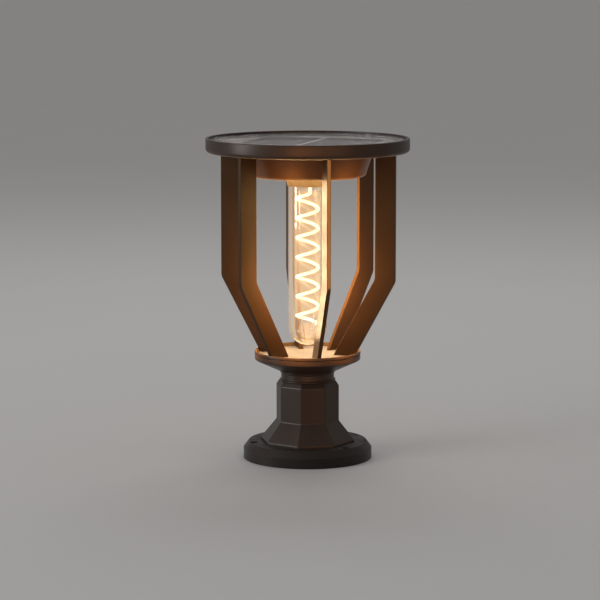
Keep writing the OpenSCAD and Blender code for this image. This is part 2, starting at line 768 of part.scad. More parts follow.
module battery_housing() {
    slope = (housing_top_r - housing_low_r) / (housing_h - housing_corner_r);
    inner_low_r = housing_low_r - housing_wall;
    inner_corner_r = housing_corner_r - housing_floor_t;
    rim_z = z_cap - housing_rim_h;
    rim_outer_r = housing_top_r - slope * housing_rim_h;
    groove_r = [housing_top_r - housing_rim_w + groove_edge, housing_top_r - groove_edge];
    color(coat) difference() {
        union() {
            rotate_extrude() polygon(concat(
                [[collar_thread_r + fit_gap, z_housing]],
                arc(housing_low_r - housing_corner_r, corner_z, housing_corner_r, -90, 0),
                [[housing_top_r, z_cap], [groove_r[1], z_cap], [groove_r[1], z_cap - seal_depth]],
                [[groove_r[0], z_cap - seal_depth], [groove_r[0], z_cap]],
                [[housing_top_r - housing_rim_w, z_cap], [housing_top_r - housing_rim_w, rim_z]],
                [[rim_outer_r - housing_wall, rim_z - 1], [inner_low_r, corner_z]],
                [[inner_low_r - inner_corner_r, z_housing_floor]],
                [[collar_thread_r + fit_gap, z_housing_floor]]
            ));
            for (a = housing_screw_angles) rotate(a)
                translate([housing_screw_circle, 0, z_housing_floor - 0.5])
                    cylinder(r = housing_boss_r, h = z_cap - z_housing_floor + 0.5, $fn = 48);
            for (s = [-1, 1]) translate([0, s * ear_reach, z_housing_floor - 0.5])
                cylinder(r = ear_screw_r + 1.5, h = collar_top_z - z_housing_floor + 0.5, $fn = 48);
            for (s = [-1, 1]) translate([s * standoff_x, board_screw_y, z_housing_floor - 0.5])
                cylinder(r = standoff_r, h = z_board - z_housing_floor + 0.5, $fn = 48);
        }
        for (a = housing_screw_angles) rotate(a)
            translate([housing_screw_circle, 0, z_cap - housing_screw_depth - 1])
                cylinder(r = housing_screw_r + fit_gap, h = housing_screw_depth + 1 + cut, $fn = 24);
        for (s = [-1, 1]) translate([0, s * ear_reach, z_housing_floor])
            cylinder(r = ear_screw_r + fit_gap, h = collar_top_z - z_housing_floor + cut, $fn = 24);
        for (s = [-1, 1]) translate([s * standoff_x, board_screw_y, z_board - board_hole_depth])
            cylinder(r = board_screw_r + fit_gap, h = board_hole_depth + cut, $fn = 24);
        translate([0, button_reach, z_housing - cut])
            cylinder(r = button_r + slide_gap + bush_wall + fit_gap, h = housing_floor_t + 2 * cut, $fn = 48);
    }
}

module housing_seal() {
    outer = housing_top_r - groove_edge - stem_seal_gap;
    inner = housing_top_r - housing_rim_w + groove_edge + stem_seal_gap;
    color(rubber) ring(outer, inner, z_cap - seal_depth, seal_depth);
}

module housing_screws() {
    length = tray_floor_t + housing_screw_depth;
    color(steel) for (a = housing_screw_angles) rotate(a)
        translate([housing_screw_circle, 0, z_tray_floor])
            screw(housing_screw_r, length, screw_head_r, screw_head_h);
}

module lamp_collar() {
    cove_w = collar_top_r - collar_r;
    cove = [for (i = [0:8]) let (a = 90 * i / 8)
        [collar_top_r - cove_w * cos(a), z_collar + collar_h * sin(a)]];
    color(coat) rotate_extrude() polygon(concat(
        [[collar_bore_r, z_collar]], cove,
        [[collar_thread_r, z_housing], [collar_thread_r, collar_top_z], [collar_bore_r, collar_top_z]]
    ));
}

module collar_nut() {
    flats = 1.2;
    color(steel) difference() {
        ring(nut_r, collar_thread_r + fit_gap, z_housing_floor, nut_h);
        for (s = [-1, 1]) translate([s * ((nut_r + collar_thread_r) / 2 + flats), 0, z_housing_floor + nut_h])
            cube([nut_r - collar_thread_r, 4, 2], center = true);
    }
}

module lamp_holder() {
    plate_bore_r = collar_bore_r - 3;
    color(white) difference() {
        union() {
            translate([0, 0, collar_top_z]) cylinder(r = collar_thread_r, h = holder_plate_t);
            translate([-ear_r, -ear_reach, collar_top_z]) cube([2 * ear_r, 2 * ear_reach, holder_plate_t]);
            for (s = [-1, 1]) translate([0, s * ear_reach, collar_top_z])
                cylinder(r = ear_r, h = holder_plate_t, $fn = 48);
            translate([0, 0, collar_top_z]) cylinder(r = holder_r, h = holder_top_z - collar_top_z);
        }
        translate([0, 0, collar_top_z - cut]) cylinder(r = plate_bore_r, h = holder_plate_t + cut - 0.5);
        translate([0, 0, collar_top_z]) cylinder(r = holder_bore_r, h = z_holder_roof - collar_top_z);
        for (s = [-1, 1]) translate([0, s * ear_reach, collar_top_z - cut])
            cylinder(r = ear_screw_r + fit_gap, h = holder_plate_t + 2 * cut, $fn = 24);
    }
}

module holder_sleeve() {
    z_low = z_shell + 3.6;
    inside = thread_outline(thread_r + fit_gap + 0.1, z_low, thread_rings);
    color(brass) rotate_extrude() polygon(concat(
        [[sleeve_r, z_low]], inside, [[sleeve_r, z_low + thread_rings * thread_pitch]]
    ));
}

module holder_contact() {
    color(brass) translate([0, 0, z_contact_top]) union() {
        cylinder(r = 5, h = contact_t, $fn = 48);
        translate([-2.5, 0, 0]) cube([5, holder_bore_r - 1, contact_t]);
    }
}

module holder_screws() {
    depth = collar_top_z - z_housing_floor - 0.4;
    color(steel) for (s = [-1, 1]) translate([0, s * ear_reach, z_holder_body])
        screw(ear_screw_r, holder_plate_t + depth, screw_head_r, screw_head_h);
}

module bulb_cap() {
    shell_wall = 0.3;
    z_low = z_shell + 3.6;
    inner_r = thread_r - thread_depth - shell_wall;
    color(brass) rotate_extrude() polygon(concat(
        [[inner_r, z_shell], [thread_r - thread_depth, z_shell]],
        thread_outline(thread_r, z_low, thread_rings),
        [[thread_r - thread_depth - 1.4, z_shell_top], [inner_r - 2.2, z_shell_top]],
        [[inner_r, z_low + thread_rings * thread_pitch - 1]]
    ));
}

module bulb_insulator() {
    color(black) rotate_extrude() polygon([
        [0, z_shell_top], [thread_r - thread_depth - 1.8, z_shell_top],
        [5.6, z_insulator_top], [0, z_insulator_top]
    ]);
}

module bulb_contact() {
    color(steel) rotate_extrude() polygon([
        [0, z_insulator_top], [4.8, z_insulator_top], [4.4, z_bulb_top - 0.3], [3, z_bulb_top], [0, z_bulb_top]
    ]);
}

// The glass outline from the tip up to the neck, drawn in by a wall
function glass_side(wall) = concat(
    arc(0, z_dome, bulb_r - wall, -90, 0, 16),
    arc(bulb_r - shoulder_r, z_shoulder, shoulder_r - wall, 0, shoulder_end, 6),
    [[bulb_neck_r - wall, z_shell - 0.2 + wall * 0.6], [bulb_neck_r - wall, z_shell + 5]]
);

module bulb_glass() {
    inside = glass_side(glass_wall);
    color([0.95, 0.9, 0.8, 0.25]) rotate_extrude() polygon(concat(
        glass_side(0), [for (i = [len(inside) - 1:-1:0]) inside[i]]
    ));
}

// The stem that closes the lamp's neck and carries the leads
module glass_stem() {
    seal_r = bulb_neck_r - glass_wall - stem_seal_gap;
    z_seal = z_shell + stem_seal_h;
    color([0.9, 0.92, 0.9, 0.4]) rotate_extrude() polygon([
        [0, z_stem_low], [stem_rod_r, z_stem_low], [stem_rod_r, z_stem_low + stem_rod_h],
        [stem_r - 1.5, z_stem_low + stem_rod_h + stem_cone_h], [stem_r, z_seal - 3 * stem_seal_t],
        [seal_r, z_seal - stem_seal_t], [seal_r, z_seal], [0, z_seal]
    ]);
}

// The glass cup at the lamp's tip that steadies the filament's lower end
module filament_foot() {
    wall = 1;
    color([0.9, 0.92, 0.9, 0.4]) rotate_extrude() polygon([
        [0, z_foot_glass], [foot_low_r, z_foot_glass], [foot_up_r, z_foot_glass + foot_glass_h],
        [foot_up_r - wall, z_foot_glass + foot_glass_h], [foot_low_r - wall, z_foot_glass + 1.5],
        [0, z_foot_glass + 1.5]
    ]);
}

module spiral_filament() {
    echo(least_gap_of_the_filament_to_itself = filament_gap);
    color([1, 0.85, 0.55]) tube(filament_path, filament_refs, filament_r);
}

// The clear tube that keeps the filament's loops in line
module filament_tube() {
    color([0.95, 0.92, 0.85, 0.3])
        ring(inner_tube_r + inner_wall, inner_tube_r, z_tube, z_tube_top - z_tube);
}

// The lead to the filament's top, the return wire and the arms that carry the inner tube
module support_wires() {
    top_angle = spiral_last + bend_turn;
    top = [spiral_r, 0, z_filament_top + wire_r];
    z_return_top = z_stem_low + 4.5;
    stem_side = stem_rod_r + wire_r + 0.1;
    arm_len = inner_tube_r + inner_wall / 2 - foot_side_r;
    low = z_filament - 2;
    bend = low - 4;
    color(steel) union() {
        rotate(top_angle) union() {
            wire(curve([top, top + [0, 0, 1], [stem_side, 0, z_stem_low + 1],
                [stem_side, 0, z_stem_low + 4]]), wire_r, [0, 1, 0]);
            translate([spiral_r, 0, z_filament_top]) cylinder(r = filament_r * 0.8, h = pad_h, $fn = 24);
        }
        rotate(spiral_start) union() {
            wire(concat(
                curve([[stem_side, 0, z_return_top], [stem_side, 0, z_stem_low + 1],
                    [return_wire_reach, 0, z_stem_low + 2], [return_wire_reach, 0, z_stem_low - 4]]),
                after_first(curve([[return_wire_reach, 0, z_stem_low - 4],
                    [return_wire_reach, 0, z_stem_low - 20], [return_wire_reach, 0, z_filament + 10],
                    [return_wire_reach, 0, low]], 6)),
                after_first(curve([[return_wire_reach, 0, low], [return_wire_reach, 0, bend],
                    [foot_side_r + 2, 0, bend], [foot_side_r + wire_r - 0.7, 0, bend]], 8))
            ), wire_r, [0, 1, 0]);
            translate([spiral_r, 0, z_filament - pad_h]) cylinder(r = filament_r * 0.8, h = pad_h, $fn = 24);
            translate([foot_side_r + 0.2, 0, z_hook]) rotate([0, 90, 0])
                cylinder(r = wire_r, h = spiral_r - foot_side_r, $fn = 16);
        }
        for (a = [60, 180, 300]) rotate(spiral_start + a) translate([foot_side_r, 0, z_hook]) union() {
            translate([0.2, 0, 0]) rotate([0, 90, 0]) cylinder(r = wire_r, h = arm_len - 0.2, $fn = 16);
            translate([arm_len, 0, -wire_r]) cylinder(r = wire_r, h = z_tube - z_hook + wire_r, $fn = 16);
        }
    }
}

module battery_cell(side) {
    color([0.2, 0.45, 0.3]) translate([side * battery_x, 0, battery_z]) rotate([90, 0, 0]) union() {
        translate([0, 0, -battery_len / 2]) cylinder(r = battery_r, h = battery_len - nub_h);
        translate([0, 0, battery_len / 2 - nub_h - 0.5]) cylinder(r = nub_r, h = nub_h + 0.5, $fn = 48);
    }
}

module battery_cradle() {
    z0 = z_housing_floor;
    color(black) for (s = [-1, 1]) translate([s * battery_x, 0, 0]) difference() {
        translate([-cradle_half_w, -cradle_half_len, z0])
            cube([2 * cradle_half_w, 2 * cradle_half_len, cradle_h]);
        translate([0, battery_len / 2 + part_gap + contact_plate_t, battery_z]) rotate([90, 0, 0])
            cylinder(r = battery_r + cradle_gap, h = battery_len + 2 * (part_gap + contact_plate_t));
    }
}

module battery_contacts() {
    plate_w = 11;
    plate_h = 13;
    color(steel) for (s = [-1, 1], e = [-1, 1])
        translate([s * battery_x - plate_w / 2,
            e > 0 ? battery_len / 2 + part_gap : -battery_len / 2 - part_gap - contact_plate_t,
            battery_z - plate_h / 2])
            cube([plate_w, contact_plate_t, plate_h]);
}

module controller_board() {
    color([0.1, 0.35, 0.2]) difference() {
        translate([-board_w / 2, board_y[0], z_board]) cube([board_w, board_y[1] - board_y[0], board_t]);
        for (s = [-1, 1]) translate([s * standoff_x, board_screw_y, z_board - cut])
            cylinder(r = board_screw_r + fit_gap, h = board_t + 2 * cut, $fn = 24);
    }
}

// Chip, coil, capacitor and connectors on the board
module board_parts() {
    z0 = z_board + board_t;
    color(black) union() {
        translate([-3, 41, z0]) cube([6, 5, 1.6]);
        translate([8, 44, z0]) cylinder(r = 2.5, h = 7, $fn = 32);
        translate([-8, 43, z0]) cylinder(r = 3, h = 3.5, $fn = 32);
        translate([-12.5, 47, z0]) cube([5, 2.5, 1.2]);
    }
}

module board_screws() {
    color(steel) for (s = [-1, 1]) translate([s * standoff_x, board_screw_y, z_board + board_t])
        screw(board_screw_r, board_t + board_screw_grip, board_screw_head_r, board_screw_head_h);
}

module push_switch() {
    color(black) translate([-switch_side / 2, button_reach - switch_side / 2, z_switch])
        cube([switch_side, switch_side, z_board - z_switch]);
}

module power_button() {
    low = z_housing - button_out;
    color([0.15, 0.15, 0.16]) translate([0, button_reach, 0]) rotate_extrude() polygon([
        [0, low], [button_r - 1, low], [button_r, low + 0.6], [button_r, z_button_flange],
        [button_flange_r, z_button_flange], [button_flange_r, z_button_flange + button_flange_t],
        [0, z_button_flange + button_flange_t]
    ]);
}

module button_bush() {
    bore_r = button_r + slide_gap;
    color(steel) translate([0, button_reach, 0]) rotate_extrude() polygon([
        [bore_r, z_housing - bush_lip_t], [bush_lip_r - 0.4, z_housing - bush_lip_t],
        [bush_lip_r, z_housing - bush_lip_t + 0.4], [bush_lip_r, z_housing],
        [bore_r + bush_wall, z_housing], [bore_r + bush_wall, z_housing_floor], [bore_r, z_housing_floor]
    ]);
}

// The spring between the button's flange and the board
module button_spring() {
    z_low = z_button_flange + button_flange_t + spring_wire_r + 0.05;
    z_up = z_board - spring_wire_r - 0.05;
    steps = spring_turns * 12;
    points = [for (i = [0:steps]) let (a = 360 * spring_turns * i / steps)
        [spring_r * cos(a), spring_r * sin(a), z_low + (z_up - z_low) * i / steps]];
    color(steel) translate([0, button_reach, 0])
        tube(points, [for (p = points) [p[0], p[1], 0]], spring_wire_r);
}

module wire_grommet() {
    color(rubber) translate([0, grommet_y, 0]) union() {
        ring(grommet_r - 0.1, grommet_hole_r, z_cap - 0.5, tray_floor_t + 0.5 + grommet_lip_t);
        ring(grommet_lip_r, grommet_hole_r, z_tray_floor, grommet_lip_t);
    }
}

// Two leads from the panel's junction through the grommet to the board
module panel_leads() {
    z_side = z_board_back - junction_size[2] / 2;
    y_side = junction_y - junction_size[1] / 2 - 0.1;
    z_end = z_board + board_t + lead_sink;
    color([0.5, 0.08, 0.06]) for (x = [-1, 1]) let (lead_x = x * lead_gap / 2) wire(concat(
        curve([[lead_x, y_side, z_side], [lead_x, grommet_y, z_side],
            [lead_x, grommet_y, z_side], [lead_x, grommet_y, z_cap - 1]]),
        after_first(curve([[lead_x, grommet_y, z_cap - 1], [lead_x, grommet_y, z_cap - 7],
            [lead_x, 39, z_cap - 5], [lead_x, 38.5, z_end]]))
    ), lead_r, [1, 0, 0]);
}

// Two leads from the holder to the board
module lamp_leads() {
    y_side = holder_r + 0.2;
    z_side = z_cap - 6;
    z_end = z_board + board_t + lead_sink;
    color([0.1, 0.1, 0.1]) for (x = [-6, 6])
        wire(curve([[x, y_side, z_side], [x, y_side + 12, z_side], [x, 36.5, z_side], [x, 36.5, z_end]]),
            lead_r, [1, 0, 0]);
}

// One lead from each battery's contact to the board
module battery_leads() {
    y_side = battery_len / 2 + part_gap + contact_plate_t + lead_r + 0.1;
    z_side = battery_z + 5;
    z_end = z_board + board_t + lead_sink;
    x_start = battery_x - battery_lead_in;
    color([0.6, 0.1, 0.08]) for (s = [-1, 1])
        wire(curve([[s * x_start, y_side, z_side], [s * (x_start - battery_lead_bend), y_side + 1, z_side],
            [s * battery_lead_end[0], battery_lead_end[1], z_side + 2],
            [s * battery_lead_end[0], battery_lead_end[1], z_end]]), lead_r, [0, 1, 0]);
}

base_flange();
base_gasket();
post();
post_screws();
tie_bolt();
tie_washer();
neck();
dish();
floor_plate();
fin_at(0);  // fin_1
fin_at(1);  // fin_2
fin_at(2);  // fin_3
fin_at(3);  // fin_4
fin_at(4);  // fin_5
fin_at(5);  // fin_6
fin_foot_screws();
fin_top_screws();
cap_tray();
panel_seal();
panel_glass();
solar_cell(-1);  // solar_cell_left
solar_cell(1);  // solar_cell_right
centre_strip();
panel_back_board();
panel_junction();
battery_housing();
housing_seal();
housing_screws();
lamp_collar();
collar_nut();
lamp_holder();
holder_sleeve();
holder_contact();
holder_screws();
bulb_cap();
bulb_insulator();
bulb_contact();
bulb_glass();
glass_stem();
filament_foot();
spiral_filament();
filament_tube();
support_wires();
battery_cell(-1);  // battery_cell_left
battery_cell(1);  // battery_cell_right
battery_cradle();
battery_contacts();
controller_board();
board_parts();
board_screws();
push_switch();
power_button();
button_bush();
button_spring();
wire_grommet();
panel_leads();
lamp_leads();
battery_leads();
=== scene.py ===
import json
import math
import bmesh
import bpy
from mathutils import Matrix, Vector


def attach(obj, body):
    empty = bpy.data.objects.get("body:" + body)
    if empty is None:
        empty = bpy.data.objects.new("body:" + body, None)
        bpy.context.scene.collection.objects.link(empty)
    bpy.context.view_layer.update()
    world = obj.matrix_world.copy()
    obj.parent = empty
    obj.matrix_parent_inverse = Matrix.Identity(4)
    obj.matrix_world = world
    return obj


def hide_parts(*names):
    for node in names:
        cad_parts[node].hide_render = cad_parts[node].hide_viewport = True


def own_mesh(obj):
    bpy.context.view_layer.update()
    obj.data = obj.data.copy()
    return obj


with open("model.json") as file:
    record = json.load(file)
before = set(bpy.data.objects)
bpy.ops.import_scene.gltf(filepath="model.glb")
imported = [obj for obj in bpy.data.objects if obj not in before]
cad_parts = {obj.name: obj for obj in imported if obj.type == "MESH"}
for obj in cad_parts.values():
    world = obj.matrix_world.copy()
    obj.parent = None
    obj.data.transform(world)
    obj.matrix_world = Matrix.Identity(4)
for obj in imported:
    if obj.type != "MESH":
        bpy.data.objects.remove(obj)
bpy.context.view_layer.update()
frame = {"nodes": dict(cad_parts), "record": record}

scene = bpy.context.scene
mm = 0.001


def onAxis(r, z):
    return Vector((r * mm, 0, z * mm))


def degrees(*angles):
    radians = tuple(math.radians(a) for a in angles)
    return radians if len(radians) > 1 else radians[0]


# a profile is drawn in the XZ plane: (r, z) ends a straight stroke, and
# (centre r, centre z, turn, steps) is an arc
def drawProfile(bm, start, strokes, closed):
    first = last = bm.verts.new(onAxis(*start))
    for stroke in strokes:
        if len(stroke) == 2:
            new = bm.verts.new(onAxis(*stroke))
            bm.edges.new((last, new))
            last = new
        else:
            r, z, turn, steps = stroke
            spun = bmesh.ops.spin(bm, geom=[last], cent=onAxis(r, z), axis=(0, -1, 0),
                                  angle=degrees(turn), steps=steps)
            last = [v for v in spun["geom_last"] if isinstance(v, bmesh.types.BMVert)][0]
    if closed:
        bm.edges.new((last, first))


def spinRound(bm, steps):
    geom = bm.verts[:] + bm.edges[:]
    bmesh.ops.spin(bm, geom=geom, cent=(0, 0, 0), axis=(0, 0, 1), angle=math.tau, steps=steps,
                   use_merge=True)
    bmesh.ops.remove_doubles(bm, verts=bm.verts[:], dist=1e-6)
    bmesh.ops.recalc_face_normals(bm, faces=bm.faces[:])


# rings of a turned piece at radius r and height z get a rounded edge
def roundRings(bm, rings):
    for r, z, width, segments in rings:
        def onRing(v):
            return abs(math.hypot(v.co.x, v.co.y) - r * mm) < 2e-6 and abs(v.co.z - z * mm) < 2e-6
        edges = [e for e in bm.edges if all(onRing(v) for v in e.verts)]
        bmesh.ops.bevel(bm, geom=edges, offset=width * mm, offset_type="OFFSET", affect="EDGES",
                        segments=segments, profile=0.5, material=-1)


def turned(start, strokes, closed=True, steps=144, rings=()):
    bm = bmesh.new()
    drawProfile(bm, start, strokes, closed)
    spinRound(bm, steps)
    roundRings(bm, rings)
    return bm


def makePiece(name, bm, slot, body="light", nodes=(), soft=0.0, segments=3, shadow=True):
    mesh = bpy.data.meshes.new(name)
    bm.to_mesh(mesh)
    bm.free()
    for face in mesh.polygons:
        face.use_smooth = True
    piece = bpy.data.objects.new(name, mesh)
    scene.collection.objects.link(piece)
    mesh.materials.append(finishes[slot])
    if soft:
        bevel = piece.modifiers.new("softEdges", "BEVEL")
        bevel.width = soft * mm
        bevel.segments = segments
        bevel.limit_method = "ANGLE"
        bevel.angle_limit = degrees(28)
        bevel.harden_normals = True
    else:
        mesh.set_sharp_from_angle(angle=degrees(38))
        weighted = piece.modifiers.new("flatFaces", "WEIGHTED_NORMAL")
        weighted.keep_sharp = True
    piece.visible_shadow = shadow
    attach(piece, body)
    if nodes:
        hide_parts(*nodes)
    return piece


def cutAway(bm, cutters):
    whole = bpy.data.meshes.new("whole")
    bm.to_mesh(whole)
    bm.free()
    wholeObject = bpy.data.objects.new("whole", whole)
    scene.collection.objects.link(wholeObject)
    spare = [wholeObject]
    for cutter in cutters:
        mesh = bpy.data.meshes.new("cutter")
        cutter.to_mesh(mesh)
        cutter.free()
        cutterObject = bpy.data.objects.new("cutter", mesh)
        scene.collection.objects.link(cutterObject)
        spare.append(cutterObject)
        boolean = wholeObject.modifiers.new("cut", "BOOLEAN")
        boolean.operation = "DIFFERENCE"
        boolean.solver = "EXACT"
        boolean.object = cutterObject
    evaluated = wholeObject.evaluated_get(bpy.context.evaluated_depsgraph_get())
    result = bmesh.new()
    result.from_mesh(evaluated.to_mesh())
    evaluated.to_mesh_clear()
    for item in spare:
        mesh = item.data
        bpy.data.objects.remove(item)
        bpy.data.meshes.remove(mesh)
    bmesh.ops.remove_doubles(result, verts=result.verts[:], dist=2e-6)
    bmesh.ops.dissolve_limit(result, angle_limit=degrees(0.4), verts=result.verts[:],
                             edges=result.edges[:])
    return result


# an upright rod, or a cone where the upper radius is given too
def rod(r, x, y, low, high, segments=48, upperR=None):
    bm = bmesh.new()
    place = Matrix.Translation((x * mm, y * mm, (low + high) / 2 * mm))
    bmesh.ops.create_cone(bm, cap_ends=True, segments=segments, radius1=r * mm,
                          radius2=(upperR or r) * mm, depth=(high - low) * mm, matrix=place)
    return bm


def around(count, first=0.0):
    return [degrees(first + i * 360 / count) for i in range(count)]


def onCircle(r, count, first):
    return [(r * math.cos(a), r * math.sin(a)) for a in around(count, first)]


# a round wire along points in millimetres
def wires(paths, radius, sides=4):
    curve = bpy.data.curves.new("wires", "CURVE")
    curve.dimensions = "3D"
    curve.bevel_depth = radius * mm
    curve.bevel_resolution = sides
    curve.use_fill_caps = True
    for points in paths:
        spline = curve.splines.new("POLY")
        spline.points.add(len(points) - 1)
        for knot, p in zip(spline.points, points):
            knot.co = (*(Vector(p) * mm), 1)
    curveObject = bpy.data.objects.new("wires", curve)
    scene.collection.objects.link(curveObject)
    depsgraph = bpy.context.evaluated_depsgraph_get()
    bm = bmesh.new()
    bm.from_mesh(curveObject.evaluated_get(depsgraph).to_mesh())
    bpy.data.objects.remove(curveObject)
    bpy.data.curves.remove(curve)
    bmesh.ops.remove_doubles(bm, verts=bm.verts[:], dist=1e-6)
    bmesh.ops.recalc_face_normals(bm, faces=bm.faces[:])
    return bm


# points of one bend that leaves a towards b and arrives at d from c
def bend(a, b, c, d, steps=12):
    a, b, c, d = Vector(a), Vector(b), Vector(c), Vector(d)
    points = []
    for i in range(steps + 1):
        t = i / steps
        points.append(a * (1 - t) ** 3 + b * 3 * t * (1 - t) ** 2
                      + c * 3 * t * t * (1 - t) + d * t ** 3)
    return points


# points given as (reach, height) stand in the upright plane at this angle
def standing(points, angle):
    across = Vector((math.cos(degrees(angle)), math.sin(degrees(angle)), 0))
    return [across * reach + Vector((0, 0, z)) for reach, z in points]


def addTo(bm, other):
    mesh = bpy.data.meshes.new("part")
    other.to_mesh(mesh)
    other.free()
    bm.from_mesh(mesh)
    bpy.data.meshes.remove(mesh)


def newGroup(name, inputs, outputs):
    group = bpy.data.node_groups.new(name, "ShaderNodeTree")
    for label, kind, value in inputs:
        socket = group.interface.new_socket(label, in_out="INPUT", socket_type=kind)
        socket.default_value = value
    for label, kind in outputs:
        group.interface.new_socket(label, in_out="OUTPUT", socket_type=kind)
    return group, group.nodes.new("NodeGroupInput"), group.nodes.new("NodeGroupOutput")


def noiseIn(tree, vector, scale, detail=3.0, roughness=0.55):
    noise = tree.nodes.new("ShaderNodeTexNoise")
    noise.inputs["Detail"].default_value = detail
    noise.inputs["Roughness"].default_value = roughness
    tree.links.new(vector, noise.inputs["Vector"])
    if isinstance(scale, (int, float)):
        noise.inputs["Scale"].default_value = scale
    else:
        tree.links.new(scale, noise.inputs["Scale"])
    return noise.outputs["Fac"]


def mathIn(tree, operation, a, b=None, clamp=False):
    node = tree.nodes.new("ShaderNodeMath")
    node.operation = operation
    node.use_clamp = clamp
    for socket, value in zip(node.inputs, (a, b)):
        if isinstance(value, (int, float)):
            socket.default_value = value
        elif value is not None:
            tree.links.new(value, socket)
    return node.outputs[0]


def rangeIn(tree, value, low, high, toLow=0.0, toHigh=1.0):
    node = tree.nodes.new("ShaderNodeMapRange")
    for label, item in (("From Min", low), ("From Max", high), ("To Min", toLow), ("To Max", toHigh)):
        node.inputs[label].default_value = item
    tree.links.new(value, node.inputs["Value"])
    return node.outputs["Result"]


def mixIn(tree, factor, a, b):
    node = tree.nodes.new("ShaderNodeMix")
    node.data_type = "RGBA"
    for label, item in (("Factor", factor), ("A", a), ("B", b)):
        socket = [s for s in node.inputs if s.name == label and s.enabled][0]
        if isinstance(item, (int, float)):
            socket.default_value = item
        elif isinstance(item, tuple):
            socket.default_value = (*item, 1)
        else:
            tree.links.new(item, socket)
    return [s for s in node.outputs if s.enabled][0]


def objectSpace(tree):
    return tree.nodes.new("ShaderNodeTexCoord").outputs["Object"]


# orange peel and fine specks of a baked powder coat
def buildPowderGrain():
    group, asked, given = newGroup("powderGrain", [
        ("Peel Scale", "NodeSocketFloat", 900.0), ("Speck Scale", "NodeSocketFloat", 4200.0)],
        [("Height", "NodeSocketFloat"), ("Cloud", "NodeSocketFloat"), ("Speck", "NodeSocketFloat")])
    space = objectSpace(group)
    peel = noiseIn(group, space, asked.outputs["Peel Scale"], 2.0)
    speck = noiseIn(group, space, asked.outputs["Speck Scale"], 1.0)
    cloud = noiseIn(group, space, 14.0, 4.0, 0.6)
    height = mathIn(group, "ADD", mathIn(group, "MULTIPLY", peel, 0.75),
                    mathIn(group, "MULTIPLY", speck, 0.25))
    group.links.new(height, given.inputs["Height"])
    group.links.new(cloud, given.inputs["Cloud"])
    group.links.new(rangeIn(group, speck, 0.60, 0.74), given.inputs["Speck"])
    return group


# corners that hands and weather have polished
def buildEdgeWear():
    group, asked, given = newGroup("edgeWear", [
        ("Width", "NodeSocketFloat", 0.0008), ("Break Up", "NodeSocketFloat", 90.0)],
        [("Mask", "NodeSocketFloat")])
    bevel = group.nodes.new("ShaderNodeBevel")
    bevel.samples = 6
    group.links.new(asked.outputs["Width"], bevel.inputs["Radius"])
    geometry = group.nodes.new("ShaderNodeNewGeometry")
    product = group.nodes.new("ShaderNodeVectorMath")
    product.operation = "DOT_PRODUCT"
    group.links.new(bevel.outputs["Normal"], product.inputs[0])
    group.links.new(geometry.outputs["Normal"], product.inputs[1])
    sharpness = rangeIn(group, product.outputs["Value"], 0.995, 0.88)
    noise = noiseIn(group, objectSpace(group), asked.outputs["Break Up"], 5.0, 0.65)
    worn = mathIn(group, "MULTIPLY", sharpness, rangeIn(group, noise, 0.38, 0.68))
    group.links.new(worn, given.inputs["Mask"])
    return group


# a thin film on what faces up: dust on most finishes, and painted shade on the flange's coat
def buildDustAndShadeFilm():
    group, asked, given = newGroup("dustAndShadeFilm", [
        ("Amount", "NodeSocketFloat", 0.2), ("Scale", "NodeSocketFloat", 60.0)],
        [("Mask", "NodeSocketFloat")])
    geometry = group.nodes.new("ShaderNodeNewGeometry")
    split = group.nodes.new("ShaderNodeSeparateXYZ")
    group.links.new(geometry.outputs["Normal"], split.inputs["Vector"])
    up = rangeIn(group, split.outputs["Z"], 0.35, 1.0)
    cloth = noiseIn(group, objectSpace(group), asked.outputs["Scale"], 6.0, 0.7)
    film = mathIn(group, "MULTIPLY", up, rangeIn(group, cloth, 0.3, 0.75))
    film = mathIn(group, "MULTIPLY", film, asked.outputs["Amount"])
    group.links.new(film, given.inputs["Mask"])
    return group


# drawn or brushed streaks along one axis
def buildBrushed():
    group, asked, given = newGroup("brushed", [
        ("Stretch", "NodeSocketVector", (1.0, 1.0, 30.0)), ("Scale", "NodeSocketFloat", 220.0)],
        [("Height", "NodeSocketFloat"), ("Tone", "NodeSocketFloat")])
    stretch = group.nodes.new("ShaderNodeVectorMath")
    stretch.operation = "MULTIPLY"
    group.links.new(objectSpace(group), stretch.inputs[0])
    group.links.new(asked.outputs["Stretch"], stretch.inputs[1])
    streak = noiseIn(group, stretch.outputs["Vector"], asked.outputs["Scale"], 4.0, 0.6)
    group.links.new(streak, given.inputs["Height"])
    group.links.new(noiseIn(group, objectSpace(group), 45.0, 3.0), given.inputs["Tone"])
    return group


# the grain of a moulded or sleeved plastic
def buildMouldGrain():
    group, asked, given = newGroup("mouldGrain", [("Scale", "NodeSocketFloat", 2600.0)],
                                   [("Height", "NodeSocketFloat"), ("Tone", "NodeSocketFloat")])
    space = objectSpace(group)
    group.links.new(noiseIn(group, space, asked.outputs["Scale"], 2.0), given.inputs["Height"])
    group.links.new(noiseIn(group, space, 35.0, 4.0, 0.6), given.inputs["Tone"])
    return group


groups = {
    "powderGrain": buildPowderGrain(), "edgeWear": buildEdgeWear(), "dustAndShadeFilm": buildDustAndShadeFilm(),
    "brushed": buildBrushed(), "mouldGrain": buildMouldGrain(),
}
print("node groups:", len(groups))


def useGroup(tree, name, **values):
    node = tree.nodes.new("ShaderNodeGroup")
    node.node_tree = groups[name]
    for label, value in values.items():
        node.inputs[label.replace("_", " ")].default_value = value
    return node.outputs


def newFinish(name, colour, roughness, metallic=0.0, **sockets):
    material = bpy.data.materials.new(name)
    material.use_nodes = True
    shader = material.node_tree.nodes["Principled BSDF"]
    shader.inputs["Base Color"].default_value = (*colour, 1)
    shader.inputs["Roughness"].default_value = roughness
    shader.inputs["Metallic"].default_value = metallic
    for label, value in sockets.items():
        shader.inputs[label.replace("_", " ")].default_value = value
    return material, material.node_tree, shader


